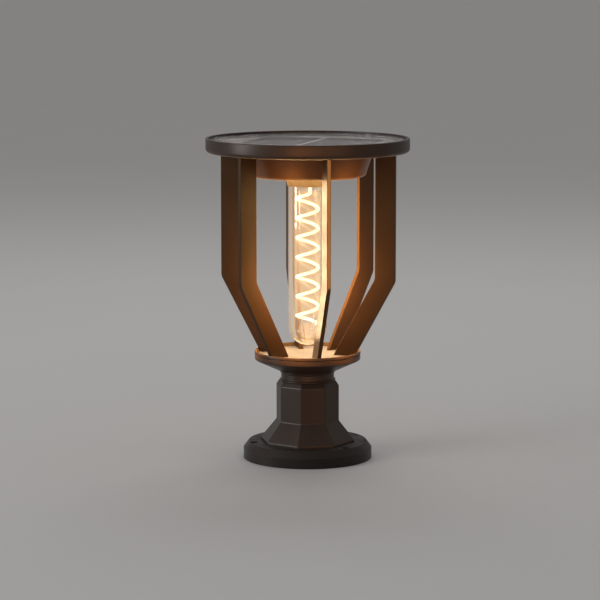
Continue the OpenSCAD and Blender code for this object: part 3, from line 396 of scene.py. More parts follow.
def bumpIn(tree, shader, height, distance):
    bump = tree.nodes.new("ShaderNodeBump")
    bump.inputs["Distance"].default_value = distance
    bump.inputs["Strength"].default_value = 1.0
    tree.links.new(height, bump.inputs["Height"])
    tree.links.new(bump.outputs["Normal"], shader.inputs["Normal"])


# powder coat with worn corners and a film on what faces up: dust, and painted shade in the flange's coat
def buildCoat(name, values):
    material, tree, shader = newFinish(name, values["colour"], values["roughness"],
                                       Specular_IOR_Level=values["specular"],
                                       Specular_Tint=(*values["tint"], 1))
    grain = useGroup(tree, "powderGrain", Peel_Scale=values["peelScale"])
    wear = useGroup(tree, "edgeWear", Width=values["wearWidth"])["Mask"]
    dust = useGroup(tree, "dustAndShadeFilm", Amount=values["dust"])["Mask"]
    tone = mixIn(tree, rangeIn(tree, grain["Cloud"], 0.3, 0.7), values["colour"], values["lighter"])
    specks = mathIn(tree, "MULTIPLY", grain["Speck"], values["speck"])
    tone = mixIn(tree, specks, tone, values["speckColour"])
    tone = mixIn(tree, mathIn(tree, "MULTIPLY", wear, values["wear"]), tone, values["wornColour"])
    tone = mixIn(tree, dust, tone, values["dustAndShadeColour"])
    tree.links.new(tone, shader.inputs["Base Color"])
    rough = rangeIn(tree, grain["Cloud"], 0.3, 0.7,
                    values["roughness"] - 0.04, values["roughness"] + 0.05)
    rough = mathIn(tree, "SUBTRACT", rough, mathIn(tree, "MULTIPLY", wear, 0.08))
    rough = mathIn(tree, "ADD", rough, mathIn(tree, "MULTIPLY", dust, 0.5), clamp=True)
    tree.links.new(rough, shader.inputs["Roughness"])
    bumpIn(tree, shader, grain["Height"], values["peelDepth"])
    return material


castCoat = {
    "colour": (0.019, 0.0133, 0.0104), "lighter": (0.025, 0.018, 0.0142), "roughness": 0.38,
    "specular": 0.26, "tint": (1.0, 0.93, 0.87), "peelScale": 900.0, "peelDepth": 0.00004,
    "speck": 0.5, "speckColour": (0.045, 0.035, 0.028),
    "wearWidth": 0.0008, "wear": 0.35, "wornColour": (0.07, 0.054, 0.043),
    "dust": 0.10, "dustAndShadeColour": (0.16, 0.14, 0.12),
}
# the fins' orange specular tint is a painted warm reflection of the lamp's light
sheetCoat = dict(
    castCoat, colour=(0.0125, 0.0074, 0.0042), lighter=(0.017, 0.0102, 0.006), roughness=0.36,
    specular=0.32, tint=(1.0, 0.70, 0.45), wear=0.3, dust=0.03)
paleCoat = dict(
    castCoat, colour=(0.27, 0.255, 0.23), lighter=(0.31, 0.295, 0.265), roughness=0.42,
    speckColour=(0.46, 0.45, 0.42), wear=0.2, wornColour=(0.45, 0.44, 0.41),
    dust=0.25, dustAndShadeColour=(0.28, 0.26, 0.23))
# duller and darker than the other castings: painted shade on the flange, with a dark film on what faces up
# as painted shade on its top faces
shadedBaseCoat = dict(
    castCoat, colour=(0.015, 0.0115, 0.0095), lighter=(0.020, 0.0153, 0.0127), specular=0.22,
    dust=0.9, dustAndShadeColour=(0.017, 0.0145, 0.0125))


def buildMetal(name, colour, roughness, stretch, scale=220.0, darker=0.75, depth=0.00002):
    material, tree, shader = newFinish(name, colour, roughness, metallic=1.0)
    streaks = useGroup(tree, "brushed", Stretch=stretch, Scale=scale)
    wear = useGroup(tree, "edgeWear", Width=0.0005)["Mask"]
    shaded, worn = tuple(c * darker for c in colour), tuple(min(1.0, c * 1.2) for c in colour)
    tone = mixIn(tree, rangeIn(tree, streaks["Tone"], 0.35, 0.7), colour, shaded)
    tone = mixIn(tree, mathIn(tree, "MULTIPLY", wear, 0.5), tone, worn)
    tree.links.new(tone, shader.inputs["Base Color"])
    rough = rangeIn(tree, streaks["Height"], 0.3, 0.7, roughness - 0.07, roughness + 0.1)
    tree.links.new(rough, shader.inputs["Roughness"])
    bumpIn(tree, shader, streaks["Height"], depth)
    return material


def buildPlastic(name, colour, roughness, scale=2600.0, depth=0.00003, tint=1.25, dust=0.05,
                 specular=0.5):
    material, tree, shader = newFinish(name, colour, roughness, Specular_IOR_Level=specular)
    grain = useGroup(tree, "mouldGrain", Scale=scale)
    film = useGroup(tree, "dustAndShadeFilm", Amount=dust)["Mask"]
    lighter = tuple(min(1.0, c * tint) for c in colour)
    tone = mixIn(tree, rangeIn(tree, grain["Tone"], 0.3, 0.7), colour, lighter)
    tone = mixIn(tree, film, tone, (0.3, 0.28, 0.25))
    tree.links.new(tone, shader.inputs["Base Color"])
    rough = rangeIn(tree, grain["Tone"], 0.3, 0.7, roughness - 0.05, roughness + 0.06)
    tree.links.new(rough, shader.inputs["Roughness"])
    bumpIn(tree, shader, grain["Height"], depth)
    return material


def buildGlass(name, colour, roughness, scale, depth, glow=0.0, paintedGlowColour=(1.0, 0.62, 0.30),
               alpha=1.0):
    material, tree, shader = newFinish(name, colour, roughness, Transmission_Weight=1.0, IOR=1.5,
                                       Alpha=alpha)
    ripple = noiseIn(tree, objectSpace(tree), scale, 2.0)
    bumpIn(tree, shader, ripple, depth)
    # the glass's own emission is a painted glow, standing in for the lit lamp's light in the glass
    if glow:
        shader.inputs["Emission Color"].default_value = (*paintedGlowColour, 1)
        shader.inputs["Emission Strength"].default_value = glow
    return material


solarCell = {
    "colour": (0.046, 0.027, 0.033), "other": (0.056, 0.034, 0.040), "silver": (0.20, 0.19, 0.185),
    "fingerPitch": 0.0021, "fingerWidth": 0.00022, "busPlaces": (0.0172, 0.0485), "busWidth": 0.0014,
}


def buildCell():
    material, tree, shader = newFinish("solarCell", solarCell["colour"], 0.34, Specular_IOR_Level=0.0)
    split = tree.nodes.new("ShaderNodeSeparateXYZ")
    tree.links.new(objectSpace(tree), split.inputs["Vector"])
    x, y = mathIn(tree, "ABSOLUTE", split.outputs["X"]), split.outputs["Y"]
    wave = mathIn(tree, "PINGPONG", y, solarCell["fingerPitch"] / 2)
    lines = mathIn(tree, "LESS_THAN", wave, solarCell["fingerWidth"] / 2)
    for place in solarCell["busPlaces"]:
        away = mathIn(tree, "ABSOLUTE", mathIn(tree, "SUBTRACT", x, place))
        bus = mathIn(tree, "LESS_THAN", away, solarCell["busWidth"] / 2)
        lines = mathIn(tree, "MAXIMUM", lines, bus)
    crystal = noiseIn(tree, objectSpace(tree), 38.0, 3.0)
    tone = mixIn(tree, rangeIn(tree, crystal, 0.35, 0.7), solarCell["colour"], solarCell["other"])
    tree.links.new(mixIn(tree, lines, tone, solarCell["silver"]), shader.inputs["Base Color"])
    tree.links.new(rangeIn(tree, lines, 0.0, 1.0, 0.34, 0.5), shader.inputs["Roughness"])
    bumpIn(tree, shader, crystal, 0.000002)
    return material


litFilament = {"colour": (1.0, 0.92, 0.72), "strength": 1.2, "dark": (1.0, 0.78, 0.46)}


def buildFilament():
    material, tree, shader = newFinish("litFilament", (1.0, 0.78, 0.42), 0.5)
    grain = noiseIn(tree, objectSpace(tree), 700.0, 2.0)
    tone = mixIn(tree, rangeIn(tree, grain, 0.35, 0.7), litFilament["colour"], litFilament["dark"])
    tree.links.new(mixIn(tree, 0.25, litFilament["colour"], tone), shader.inputs["Emission Color"])
    shader.inputs["Emission Strength"].default_value = litFilament["strength"]
    bumpIn(tree, shader, grain, 0.0001)
    return material


def buildBoard():
    material, tree, shader = newFinish("circuitBoard", (0.02, 0.12, 0.06), 0.35)
    bricks = tree.nodes.new("ShaderNodeTexBrick")
    bricks.inputs["Scale"].default_value = 260.0
    bricks.inputs["Mortar Size"].default_value = 0.03
    bricks.inputs["Color1"].default_value = (0.016, 0.105, 0.05, 1)
    bricks.inputs["Color2"].default_value = (0.02, 0.13, 0.064, 1)
    bricks.inputs["Mortar"].default_value = (0.04, 0.2, 0.1, 1)
    tree.links.new(objectSpace(tree), bricks.inputs["Vector"])
    tree.links.new(bricks.outputs["Color"], shader.inputs["Base Color"])
    bumpIn(tree, shader, bricks.outputs["Fac"], 0.00003)
    return material


finishes = {
    "coated_casting": buildCoat("castCoat", castCoat),
    "fin_coat": buildCoat("sheetCoat", sheetCoat),
    "floor_coat": buildCoat("paleCoat", paleCoat),
    "plated_steel": buildMetal("zincPlate", (0.60, 0.60, 0.57), 0.34, (1.0, 1.0, 6.0)),
    "spring_steel": buildMetal("springSteel", (0.62, 0.61, 0.58), 0.26, (1.0, 1.0, 14.0)),
    "seal_rubber": buildPlastic("sealRubber", (0.022, 0.022, 0.022), 0.75, scale=1800.0, depth=0.00006,
                                tint=1.4, dust=0.3),
    "panel_glass": buildGlass("panelGlass", (0.97, 0.985, 0.98), 0.04, 420.0, 0.000001, alpha=0.26),
    "solar_cell": buildCell(),
    "back_board": buildPlastic("backLaminate", (0.31, 0.265, 0.25), 0.5, scale=3200.0, depth=0.00002,
                               tint=1.08, dust=0.0, specular=0.0),
    "black_plastic": buildPlastic("blackMoulding", (0.025, 0.025, 0.027), 0.5),
    "holder_plastic": buildPlastic("whiteMoulding", (0.66, 0.65, 0.61), 0.42, tint=1.06),
    "insulator": buildPlastic("blackGlass", (0.012, 0.012, 0.014), 0.18, scale=900.0),
    "nickel_brass": buildMetal("nickelPlate", (0.66, 0.62, 0.54), 0.28, (1.0, 1.0, 40.0)),
    # the lamp glass carries a painted glow
    "lamp_glass": buildGlass("lampGlass", (1.0, 0.96, 0.90), 0.02, 60.0, 0.0001, glow=0.06),
    "filament": buildFilament(),
    "lead_wire": buildMetal("leadWire", (0.55, 0.50, 0.43), 0.32, (1.0, 1.0, 1.0)),
    "battery_wrap": buildPlastic("shrinkSleeve", (0.05, 0.16, 0.10), 0.3, scale=1200.0, tint=1.15),
    "circuit_board": buildBoard(),
    "button_plastic": buildPlastic("buttonMoulding", (0.022, 0.022, 0.024), 0.46, scale=3400.0,
                                   depth=0.00004, tint=1.3, dust=0.0),
    "red_lead": buildPlastic("redSleeve", (0.36, 0.025, 0.018), 0.36, scale=1500.0),
    "black_lead": buildPlastic("blackSleeve", (0.02, 0.02, 0.02), 0.36, scale=1500.0),
}
print("finishes:", len(finishes))

for part in frame["record"]["subparts"]:
    node = frame["nodes"][part["node"]]
    node.data.materials.clear()
    node.data.materials.append(finishes[part["material_slot"]])


# an eight-sided solid through levels of (radius, height)
def octagonStack(levels, turn):
    bm = bmesh.new()
    r, z = levels[0]
    place = Matrix.Translation((0, 0, z * mm)) @ Matrix.Rotation(degrees(turn), 4, "Z")
    bmesh.ops.create_circle(bm, cap_ends=True, segments=8, radius=mm,
                            matrix=place @ Matrix.Diagonal((r, r, 1, 1)))
    top = bm.faces[:]
    for nextR, nextZ in levels[1:]:
        grown = bmesh.ops.extrude_face_region(bm, geom=top)["geom"]
        bmesh.ops.delete(bm, geom=top, context="FACES_ONLY")
        rim = [v for v in grown if isinstance(v, bmesh.types.BMVert)]
        top = [f for f in grown if isinstance(f, bmesh.types.BMFace)]
        bmesh.ops.scale(bm, vec=(nextR / r, nextR / r, 1), verts=rim)
        bmesh.ops.translate(bm, vec=(0, 0, (nextZ - z) * mm), verts=rim)
        r, z = nextR, nextZ
    bmesh.ops.holes_fill(bm, edges=bm.edges[:], sides=0)
    bmesh.ops.recalc_face_normals(bm, faces=bm.faces[:])
    return bm


# lengths of all pieces are in millimetres
flange = {
    "r": 63.5, "wallTop": 10.0, "top": 16.5, "crest": 58.5, "recessR": 48.1, "recessZ": 15.5,
    "hollowR": 42.0, "hollowZ": 8.0, "accessR": 24.0, "gasketIn": 46.5, "gasketOut": 61.5, "gasketT": 2.0,
    "boltR": 3.5, "boltCircle": 54.0, "sinkR": 3.3, "sinkTopR": 5.1, "sinkLow": 15.2, "sinkHigh": 17.1,
    "screwR": 2.65, "screwCircle": 33.0, "turn": 5.5,
}
bm = turned((flange["accessR"], flange["top"]), [
    (flange["accessR"], flange["hollowZ"]), (flange["hollowR"], flange["hollowZ"]),
    (flange["hollowR"], 0), (flange["gasketIn"], 0), (flange["gasketIn"], flange["gasketT"]),
    (flange["gasketOut"], flange["gasketT"]), (flange["gasketOut"], 0), (flange["r"], 0),
    (flange["r"], flange["wallTop"]), (flange["crest"], flange["top"])], steps=180)
holes = onCircle(flange["boltCircle"], 3, 90)
cutters = [rod(flange["boltR"], x, y, -1, 20) for x, y in holes]
cutters += [rod(flange["sinkR"], x, y, flange["sinkLow"], flange["sinkHigh"], upperR=flange["sinkTopR"])
            for x, y in holes]
cutters += [rod(flange["screwR"], x, y, 5, 18, 32) for x, y in onCircle(flange["screwCircle"], 4, 45)]
cutters.append(octagonStack([(flange["recessR"], flange["recessZ"]),
                             (flange["recessR"], flange["top"] + 2)], flange["turn"]))
basePiece = makePiece("flangeCasting", cutAway(bm, cutters), "coated_casting", nodes=["base_flange"],
                      soft=0.7)
# the flange's darker coat and its dark up-facing film are painted shade
basePiece.data.materials[0] = buildCoat("shadedBaseCoat", shadedBaseCoat)

post = {
    "footR": 47.3, "footTop": 18.5, "r": 31.7, "flareTop": 37.5, "shaftTop": 72.8, "topR": 28.4,
    "top": 77.5, "low": 15.5, "turn": 5.5, "web": 68.0, "bore": 26.0, "footHollow": 40.0,
    "hollowTop": 34.0, "boltR": 5.15, "boltLow": 60, "boltHigh": 90,
}
bm = octagonStack([(post["footR"], post["low"]), (post["footR"], post["footTop"]),
                   (post["r"], post["flareTop"]), (post["r"], post["shaftTop"]),
                   (post["topR"], post["top"])], post["turn"])
hollow = turned((0, post["low"] - 1), [
    (post["footHollow"], post["low"] - 1), (post["footHollow"], post["low"]),
    (post["bore"], post["hollowTop"]), (post["bore"], post["web"]), (0, post["web"])],
    closed=False, steps=96)
boltHole = rod(post["boltR"], 0, 0, post["boltLow"], post["boltHigh"])
makePiece("octagonPost", cutAway(bm, [hollow, boltHole]), "coated_casting", nodes=["post"], soft=0.9)

neck = {"waistR": 26.2, "endR": 27.6, "low": 77.5, "high": 87.0, "boreR": 15.85, "lip": 0.9, "slope": 2.1}
makePiece("neckSpool", turned((neck["boreR"], neck["low"]), [
    (neck["endR"], neck["low"]), (neck["endR"], neck["low"] + neck["lip"]),
    (neck["waistR"], neck["low"] + neck["slope"]), (neck["waistR"], neck["high"] - neck["slope"]),
    (neck["endR"], neck["high"] - neck["lip"]), (neck["endR"], neck["high"]),
    (neck["boreR"], neck["high"])], steps=128), "coated_casting", nodes=["neck"], soft=0.4)

dish = {
    "low": 87.0, "coneR": 27.6, "wallLow": 98.4, "wallR": 52.2, "rimR": 52.4, "rim": 107.0,
    "groove": 103.2, "bead": 104.4, "grooveR": 51.3, "grooveEdge": 0.3, "seat": 103.5, "seatR": 49.15,
    "rimInner": 51.06, "ledgeR": 45.0, "under": 101.0, "ledgeT": 1.5, "bowlR": 24.2, "bowl": 90.5,
    "boltR": 5.15, "spigotR": 15.7, "spigot": 83.0, "wallRound": 1.2, "rimRound": 0.8,
}
makePiece("dishCasting", turned((dish["boltR"], dish["spigot"]), [
    (dish["spigotR"], dish["spigot"]), (dish["spigotR"], dish["low"]), (dish["coneR"], dish["low"]),
    (dish["wallR"], dish["wallLow"]), (dish["wallR"], dish["groove"]),
    (dish["grooveR"], dish["groove"] + dish["grooveEdge"]),
    (dish["grooveR"], dish["bead"] - dish["grooveEdge"]), (dish["rimR"], dish["bead"]),
    (dish["rimR"], dish["rim"]), (dish["rimInner"], dish["rim"]), (dish["seatR"], dish["seat"]),
    (dish["seatR"], dish["under"]), (dish["ledgeR"], dish["under"]),
    (dish["ledgeR"], dish["under"] - dish["ledgeT"]), (dish["bowlR"], dish["bowl"]),
    (dish["boltR"], dish["bowl"])],
    steps=160, rings=[(dish["wallR"], dish["wallLow"], dish["wallRound"], 4),
                      (dish["rimR"], dish["rim"], dish["rimRound"], 4)]),
    "coated_casting", nodes=["dish"], soft=0.25)

floorPlate = {"r": 49.0, "top": 103.5, "under": 101.0, "bossR": 9.0, "boss": 90.5}
makePiece("dishFloor", turned((0, floorPlate["boss"]), [
    (floorPlate["bossR"], floorPlate["boss"]), (floorPlate["bossR"], floorPlate["under"]),
    (floorPlate["r"], floorPlate["under"]), (floorPlate["r"], floorPlate["top"]),
    (0, floorPlate["top"])], closed=False, steps=144), "floor_coat", nodes=["floor_plate"],
    soft=0.4)

fin = {
    "t": 4.0, "foot": 103.5, "top": 303.0, "inner": 68.9, "reach": 89.3, "footInner": 26.9,
    "footReach": 48.6, "kneeOut": 178.0, "kneeIn": 180.4, "kneeRound": 2.5,
}


def buildFin(angle):
    bm = bmesh.new()
    corners = [(fin["footInner"], fin["foot"]), (fin["footReach"], fin["foot"]),
               (fin["reach"], fin["kneeOut"]), (fin["reach"], fin["top"]),
               (fin["inner"], fin["top"]), (fin["inner"], fin["kneeIn"])]
    plate = bm.faces.new([bm.verts.new((r * mm, -fin["t"] / 2 * mm, z * mm)) for r, z in corners])
    grown = bmesh.ops.extrude_face_region(bm, geom=[plate])["geom"]
    bmesh.ops.translate(bm, vec=(0, fin["t"] * mm, 0),
                        verts=[v for v in grown if isinstance(v, bmesh.types.BMVert)])
    bmesh.ops.recalc_face_normals(bm, faces=bm.faces[:])
    knees = [e for e in bm.edges if abs(e.verts[0].co.y - e.verts[1].co.y) > 1e-4
             and fin["foot"] + 5 < e.verts[0].co.z / mm < fin["top"] - 5]
    bmesh.ops.bevel(bm, geom=knees, offset=fin["kneeRound"] * mm, offset_type="OFFSET", affect="EDGES",
                    segments=5, profile=0.5, material=-1)
    bmesh.ops.rotate(bm, cent=(0, 0, 0), matrix=Matrix.Rotation(angle, 3, "Z"), verts=bm.verts[:])
    return bm


for i, angle in enumerate(around(6)):
    makePiece("finPlate%d" % (i + 1), buildFin(angle), "fin_coat", nodes=["fin_%d" % (i + 1)],
              soft=0.5)
print("base and cage done")

cap = {
    "r": 99.96, "low": 303.0, "top": 317.0, "lip": 4.0, "wellR": 97.0, "ledgeR": 92.0, "ledge": 310.2,
    "floor": 306.0, "holeR": 18.55, "topRound": 0.9, "wellRound": 0.6,
}
bm = turned((cap["holeR"], cap["low"]), [
    (cap["r"], cap["low"]), (cap["r"], cap["top"]), (cap["wellR"], cap["top"]),
    (cap["wellR"], cap["ledge"]), (cap["ledgeR"], cap["ledge"]), (cap["ledgeR"], cap["floor"]),
    (cap["holeR"], cap["floor"])], steps=220,
    rings=[(cap["r"], cap["low"], cap["lip"], 10), (cap["r"], cap["top"], cap["topRound"], 4),
           (cap["wellR"], cap["top"], cap["wellRound"], 3)])
makePiece("capShell", bm, "coated_casting", nodes=["cap_tray"], soft=0.2, segments=2)

cover = {"r": 96.6, "low": 312.3, "top": 315.4, "topRound": 0.5, "lowRound": 0.4}
makePiece("coverGlass", turned((0, cover["low"]), [
    (cover["r"], cover["low"]), (cover["r"], cover["top"]), (0, cover["top"])],
    closed=False, steps=160,
    rings=[(cover["r"], cover["top"], cover["topRound"], 3),
           (cover["r"], cover["low"], cover["lowRound"], 2)]),
    "panel_glass", nodes=["panel_glass"], shadow=False)

# the strip between the half cells stands a hair under the glass
strip = {
    "halfX": 1.5, "halfY": 62.5, "low": 311.85, "top": 312.2, "round": 0.08,
    "colour": (0.62, 0.56, 0.54),
}
bm = bmesh.new()
place = Matrix.Translation((0, 0, (strip["low"] + strip["top"]) / 2 * mm))
bmesh.ops.create_cube(bm, size=mm, matrix=place @ Matrix.Diagonal(
    (2 * strip["halfX"], 2 * strip["halfY"], strip["top"] - strip["low"], 1)))
bmesh.ops.bevel(bm, geom=bm.edges[:], offset=strip["round"] * mm, offset_type="OFFSET",
                affect="EDGES", segments=2, profile=0.5, material=-1)
stripPiece = makePiece("centreStrip", bm, "back_board", nodes=["centre_strip"])
stripPiece.data.materials[0] = buildPlastic("stripLaminate", strip["colour"], 0.5, scale=3200.0,
                                            depth=0.00002, tint=1.08, dust=0.0, specular=0.0)

housing = {
    "topR": 64.0, "lowR": 57.8, "low": 279.5, "top": 303.0, "corner": 4.5, "wall": 2.5, "floor": 281.7,
    "bore": 21.15, "sealOut": 1.1, "sealIn": 2.9, "sealT": 1.3, "rim": 4.0, "innerR": 60.2,
    "innerDrop": 5.0, "floorR": 53.0,
}
makePiece("housingShell", turned((housing["bore"], housing["low"]), [
    (housing["lowR"] - housing["corner"], housing["low"]),
    (housing["lowR"] - housing["corner"], housing["low"] + housing["corner"], 90, 10),
    (housing["topR"], housing["top"]), (housing["topR"] - housing["sealOut"], housing["top"]),
    (housing["topR"] - housing["sealOut"], housing["top"] - housing["sealT"]),
    (housing["topR"] - housing["sealIn"], housing["top"] - housing["sealT"]),
    (housing["topR"] - housing["sealIn"], housing["top"]),
    (housing["topR"] - housing["rim"], housing["top"]),
    (housing["topR"] - housing["rim"], housing["top"] - housing["rim"]),
    (housing["innerR"], housing["top"] - housing["innerDrop"]),
    (housing["lowR"] - housing["wall"], housing["low"] + housing["corner"]),
    (housing["floorR"], housing["floor"]), (housing["bore"], housing["floor"])],
    steps=160), "coated_casting", nodes=["battery_housing"])

collar = {
    "topR": 26.4, "lowR": 20.1, "boreR": 19.4, "threadR": 21.0, "low": 270.1, "shelf": 279.5, "top": 286.0,
}
coveW, coveH = collar["topR"] - collar["lowR"], collar["shelf"] - collar["low"]
cove = [(collar["topR"] - coveW * math.cos(degrees(a)), collar["low"] + coveH * math.sin(degrees(a)))
        for a in range(9, 91, 9)]
bm = turned((collar["boreR"], collar["low"]), [(collar["lowR"], collar["low"])] + cove + [
    (collar["threadR"], collar["shelf"]), (collar["threadR"], collar["top"]),
    (collar["boreR"], collar["top"])], steps=128)
makePiece("lampCollar", bm, "coated_casting", nodes=["lamp_collar"])
print("cap done")

lamp = {
    "r": 19.0, "wall": 1.0, "tip": 112.1, "dome": 131.1, "shoulder": 272.18, "shoulderR": 8.5,
    "shoulderTurn": 60, "neckR": 11.5, "shell": 284.78, "neckUp": 5.0,
}
shoulderX, innerBend = lamp["r"] - lamp["shoulderR"], lamp["shoulderR"] - lamp["wall"]
shoulderEnd = (shoulderX + innerBend * math.cos(degrees(lamp["shoulderTurn"])),
               lamp["shoulder"] + innerBend * math.sin(degrees(lamp["shoulderTurn"])))
bm = turned((0, lamp["tip"]), [
    (0, lamp["dome"], 90, 20), (lamp["r"], lamp["shoulder"]),
    (shoulderX, lamp["shoulder"], lamp["shoulderTurn"], 8),
    (lamp["neckR"], lamp["shell"] - 0.2), (lamp["neckR"], lamp["shell"] + lamp["neckUp"]),
    (lamp["neckR"] - lamp["wall"], lamp["shell"] + lamp["neckUp"]),
    (lamp["neckR"] - lamp["wall"], lamp["shell"] + 0.4), shoulderEnd,
    (shoulderX, lamp["shoulder"], -lamp["shoulderTurn"], 8),
    (lamp["r"] - lamp["wall"], lamp["dome"]),
    (0, lamp["dome"], -90, 20)], closed=False, steps=96)
makePiece("lampGlassTube", bm, "lamp_glass", nodes=["bulb_glass"], shadow=False)

innerTube = {"r": 13.05, "inner": 12.25, "low": 141.23, "high": 265.1}
innerPiece = makePiece("innerGlassTube", turned((innerTube["inner"], innerTube["low"]), [
    (innerTube["r"], innerTube["low"]), (innerTube["r"], innerTube["high"]),
    (innerTube["inner"], innerTube["high"])], steps=80), "lamp_glass",
    nodes=["filament_tube"], soft=0.3, segments=2, shadow=False)
# the inner tube's warm emission is a painted glow
innerPiece.data.materials[0] = buildGlass("paintedGlowGlass", (1.0, 0.95, 0.86), 0.05, 90.0, 0.0001,
                                          glow=0.055, paintedGlowColour=(1.0, 0.60, 0.27))

glassFoot = {"lowR": 5.4, "upR": 7.9, "low": 114.23, "high": 133.23, "wall": 1.0, "bottom": 1.5}
makePiece("glassFoot", turned((0, glassFoot["low"]), [
    (glassFoot["lowR"], glassFoot["low"]), (glassFoot["upR"], glassFoot["high"]),
    (glassFoot["upR"] - glassFoot["wall"], glassFoot["high"]),
    (glassFoot["lowR"] - glassFoot["wall"], glassFoot["low"] + glassFoot["bottom"]),
    (0, glassFoot["low"] + glassFoot["bottom"])], closed=False, steps=64), "lamp_glass",
    nodes=["filament_foot"], soft=0.3, segments=2, shadow=False)

filament = {
    "r": 10.5, "thick": 1.5, "start": 17.0, "pitch": 19.33, "turns": 6.579, "low": 126.63,
    "straight": 3.0, "bend": 4.0, "coil": 133.63, "tail": 5.0, "steps": 320,
}
bendTurn = 180 * filament["bend"] / filament["pitch"]
bendLow = filament["low"] + filament["straight"]
coilStart, coilTurn = filament["start"] + bendTurn, 360 * filament["turns"]
coilRise = filament["turns"] * filament["pitch"]
coilEnd, coilTop = coilStart + coilTurn, filament["coil"] + coilRise


def onCoil(angle, z):
    return (filament["r"] * math.cos(degrees(angle)), filament["r"] * math.sin(degrees(angle)), z)


def easeIn(u):
    return u - math.sin(math.pi * u) / math.pi


path = [onCoil(filament["start"], filament["low"]), onCoil(filament["start"], bendLow)]
path += [onCoil(filament["start"] + bendTurn * easeIn(i / 10), bendLow + filament["bend"] * i / 10)
         for i in range(1, 10)]
for i in range(filament["steps"] + 1):
    u = i / filament["steps"]
    path.append(onCoil(coilStart + coilTurn * u, filament["coil"] + coilRise * u))
path += [onCoil(coilEnd + bendTurn * (1 - easeIn(1 - i / 10)), coilTop + filament["bend"] * i / 10)
         for i in range(1, 11)]
path.append(onCoil(coilEnd + bendTurn, coilTop + filament["bend"] + filament["tail"]))
makePiece("spiralFilament", wires([path], filament["thick"]), "filament", nodes=["spiral_filament"],
          shadow=False)

support = {
    "wire": 0.4, "stemSide": 2.3, "stemLow": 271.58, "reach": 15.53, "footSide": 7.03, "hookZ": 125.63,
    "armReach": 12.65, "armTop": 141.23, "filamentTop": 269.8, "padR": 1.12, "padH": 0.6,
}
startTurn, topTurn, wireLow = filament["start"], coilEnd + bendTurn, filament["low"] - 2
leadPath = bend(*standing([
    (filament["r"], support["filamentTop"] + 0.4), (filament["r"], support["filamentTop"] + 1.4),
    (support["stemSide"], support["stemLow"] + 1), (support["stemSide"], support["stemLow"] + 4)], topTurn))
returnPath = bend(*standing([
    (support["stemSide"], support["stemLow"] + 4.5), (support["stemSide"], support["stemLow"] + 1),
    (support["reach"], support["stemLow"] + 2), (support["reach"], support["stemLow"] - 4)], startTurn))
returnPath += bend(*standing([
    (support["reach"], wireLow), (support["reach"], wireLow - 4), (support["footSide"] + 2, wireLow - 4),
    (support["footSide"] - 0.3, wireLow - 4)], startTurn))
hookPath = standing([(support["footSide"] + 0.2, support["hookZ"]),
                     (filament["r"] + 0.2, support["hookZ"])], startTurn)
armPaths = [standing([
    (support["footSide"] + 0.2, support["hookZ"]), (support["armReach"] - 0.6, support["hookZ"]),
    (support["armReach"], support["hookZ"] + 0.6), (support["armReach"], support["armTop"])],
    startTurn + turn) for turn in (60, 180, 300)]
bm = wires([leadPath, returnPath, hookPath] + armPaths, support["wire"], sides=2)
for angle, z in ((startTurn, filament["low"] - support["padH"]), (topTurn, support["filamentTop"])):
    centre = standing([(filament["r"], z)], angle)[0]
    addTo(bm, rod(support["padR"], centre.x, centre.y, z, z + support["padH"], 20))
makePiece("supportWires", bm, "lead_wire", nodes=["support_wires"])

stem = {
    "rodR": 1.8, "low": 271.58, "edge": 0.5, "rodTop": 276.58, "coneTop": 279.58, "coneR": 4.5, "r": 6.0,
    "flareZ": 286.98, "sealR": 10.4, "sealLow": 288.98, "seal": 289.98,
}
makePiece("glassStem", turned((0, stem["low"]), [
    (stem["rodR"] - stem["edge"], stem["low"]), (stem["rodR"], stem["low"] + stem["edge"]),
    (stem["rodR"], stem["rodTop"]), (stem["coneR"], stem["coneTop"]),
    (stem["r"], stem["flareZ"]), (stem["sealR"], stem["sealLow"]),
    (stem["sealR"], stem["seal"]), (0, stem["seal"])], closed=False, steps=64),
    "lamp_glass", nodes=["glass_stem"], shadow=False)

leads = {
    "r": 0.6, "gap": 0.8, "grommetY": 30.0, "grommetTop": 302, "grommetLow": 296, "end": 288.1,
    "panelSide": (40.9, 308.6), "panelEnd": 38.5, "lampX": 6, "lampSide": (17.75, 297.0),
    "lampEnd": 36.5, "batteryX": 13, "batterySide": (31.0, 34.0, 297.2), "batteryEnd": 36,
}
panelPaths, lampPaths, batteryPaths = [], [], []
for side in (-1, 1):
    x, y, end = side * leads["gap"], leads["grommetY"], leads["end"]
    high, low, endY = leads["grommetTop"], leads["grommetLow"], leads["panelEnd"]
    panelY, panelZ = leads["panelSide"]
    panelPaths.append(bend((x, panelY, panelZ), (x, y, panelZ), (x, y, panelZ), (x, y, high))
                      + bend((x, y, high), (x, y, low), (x, endY + 0.5, low + 2), (x, endY, end))[1:])
    x, endY = side * leads["lampX"], leads["lampEnd"]
    lampY, lampZ = leads["lampSide"]
    lampPaths.append(bend((x, lampY, lampZ), (x, lampY + 12, lampZ), (x, endY, lampZ), (x, endY, end)))
    x, endY = side * leads["batteryX"], leads["batteryEnd"]
    cellX, cellY, cellZ = leads["batterySide"]
    batteryPaths.append(bend((side * cellX, cellY, cellZ), (side * (cellX - 6), cellY + 1, cellZ),
                             (x, endY, cellZ + 2), (x, endY, end)))
makePiece("panelLeads", wires(panelPaths, leads["r"], 3), "red_lead", nodes=["panel_leads"])
makePiece("lampLeads", wires(lampPaths, leads["r"], 3), "black_lead", nodes=["lamp_leads"])

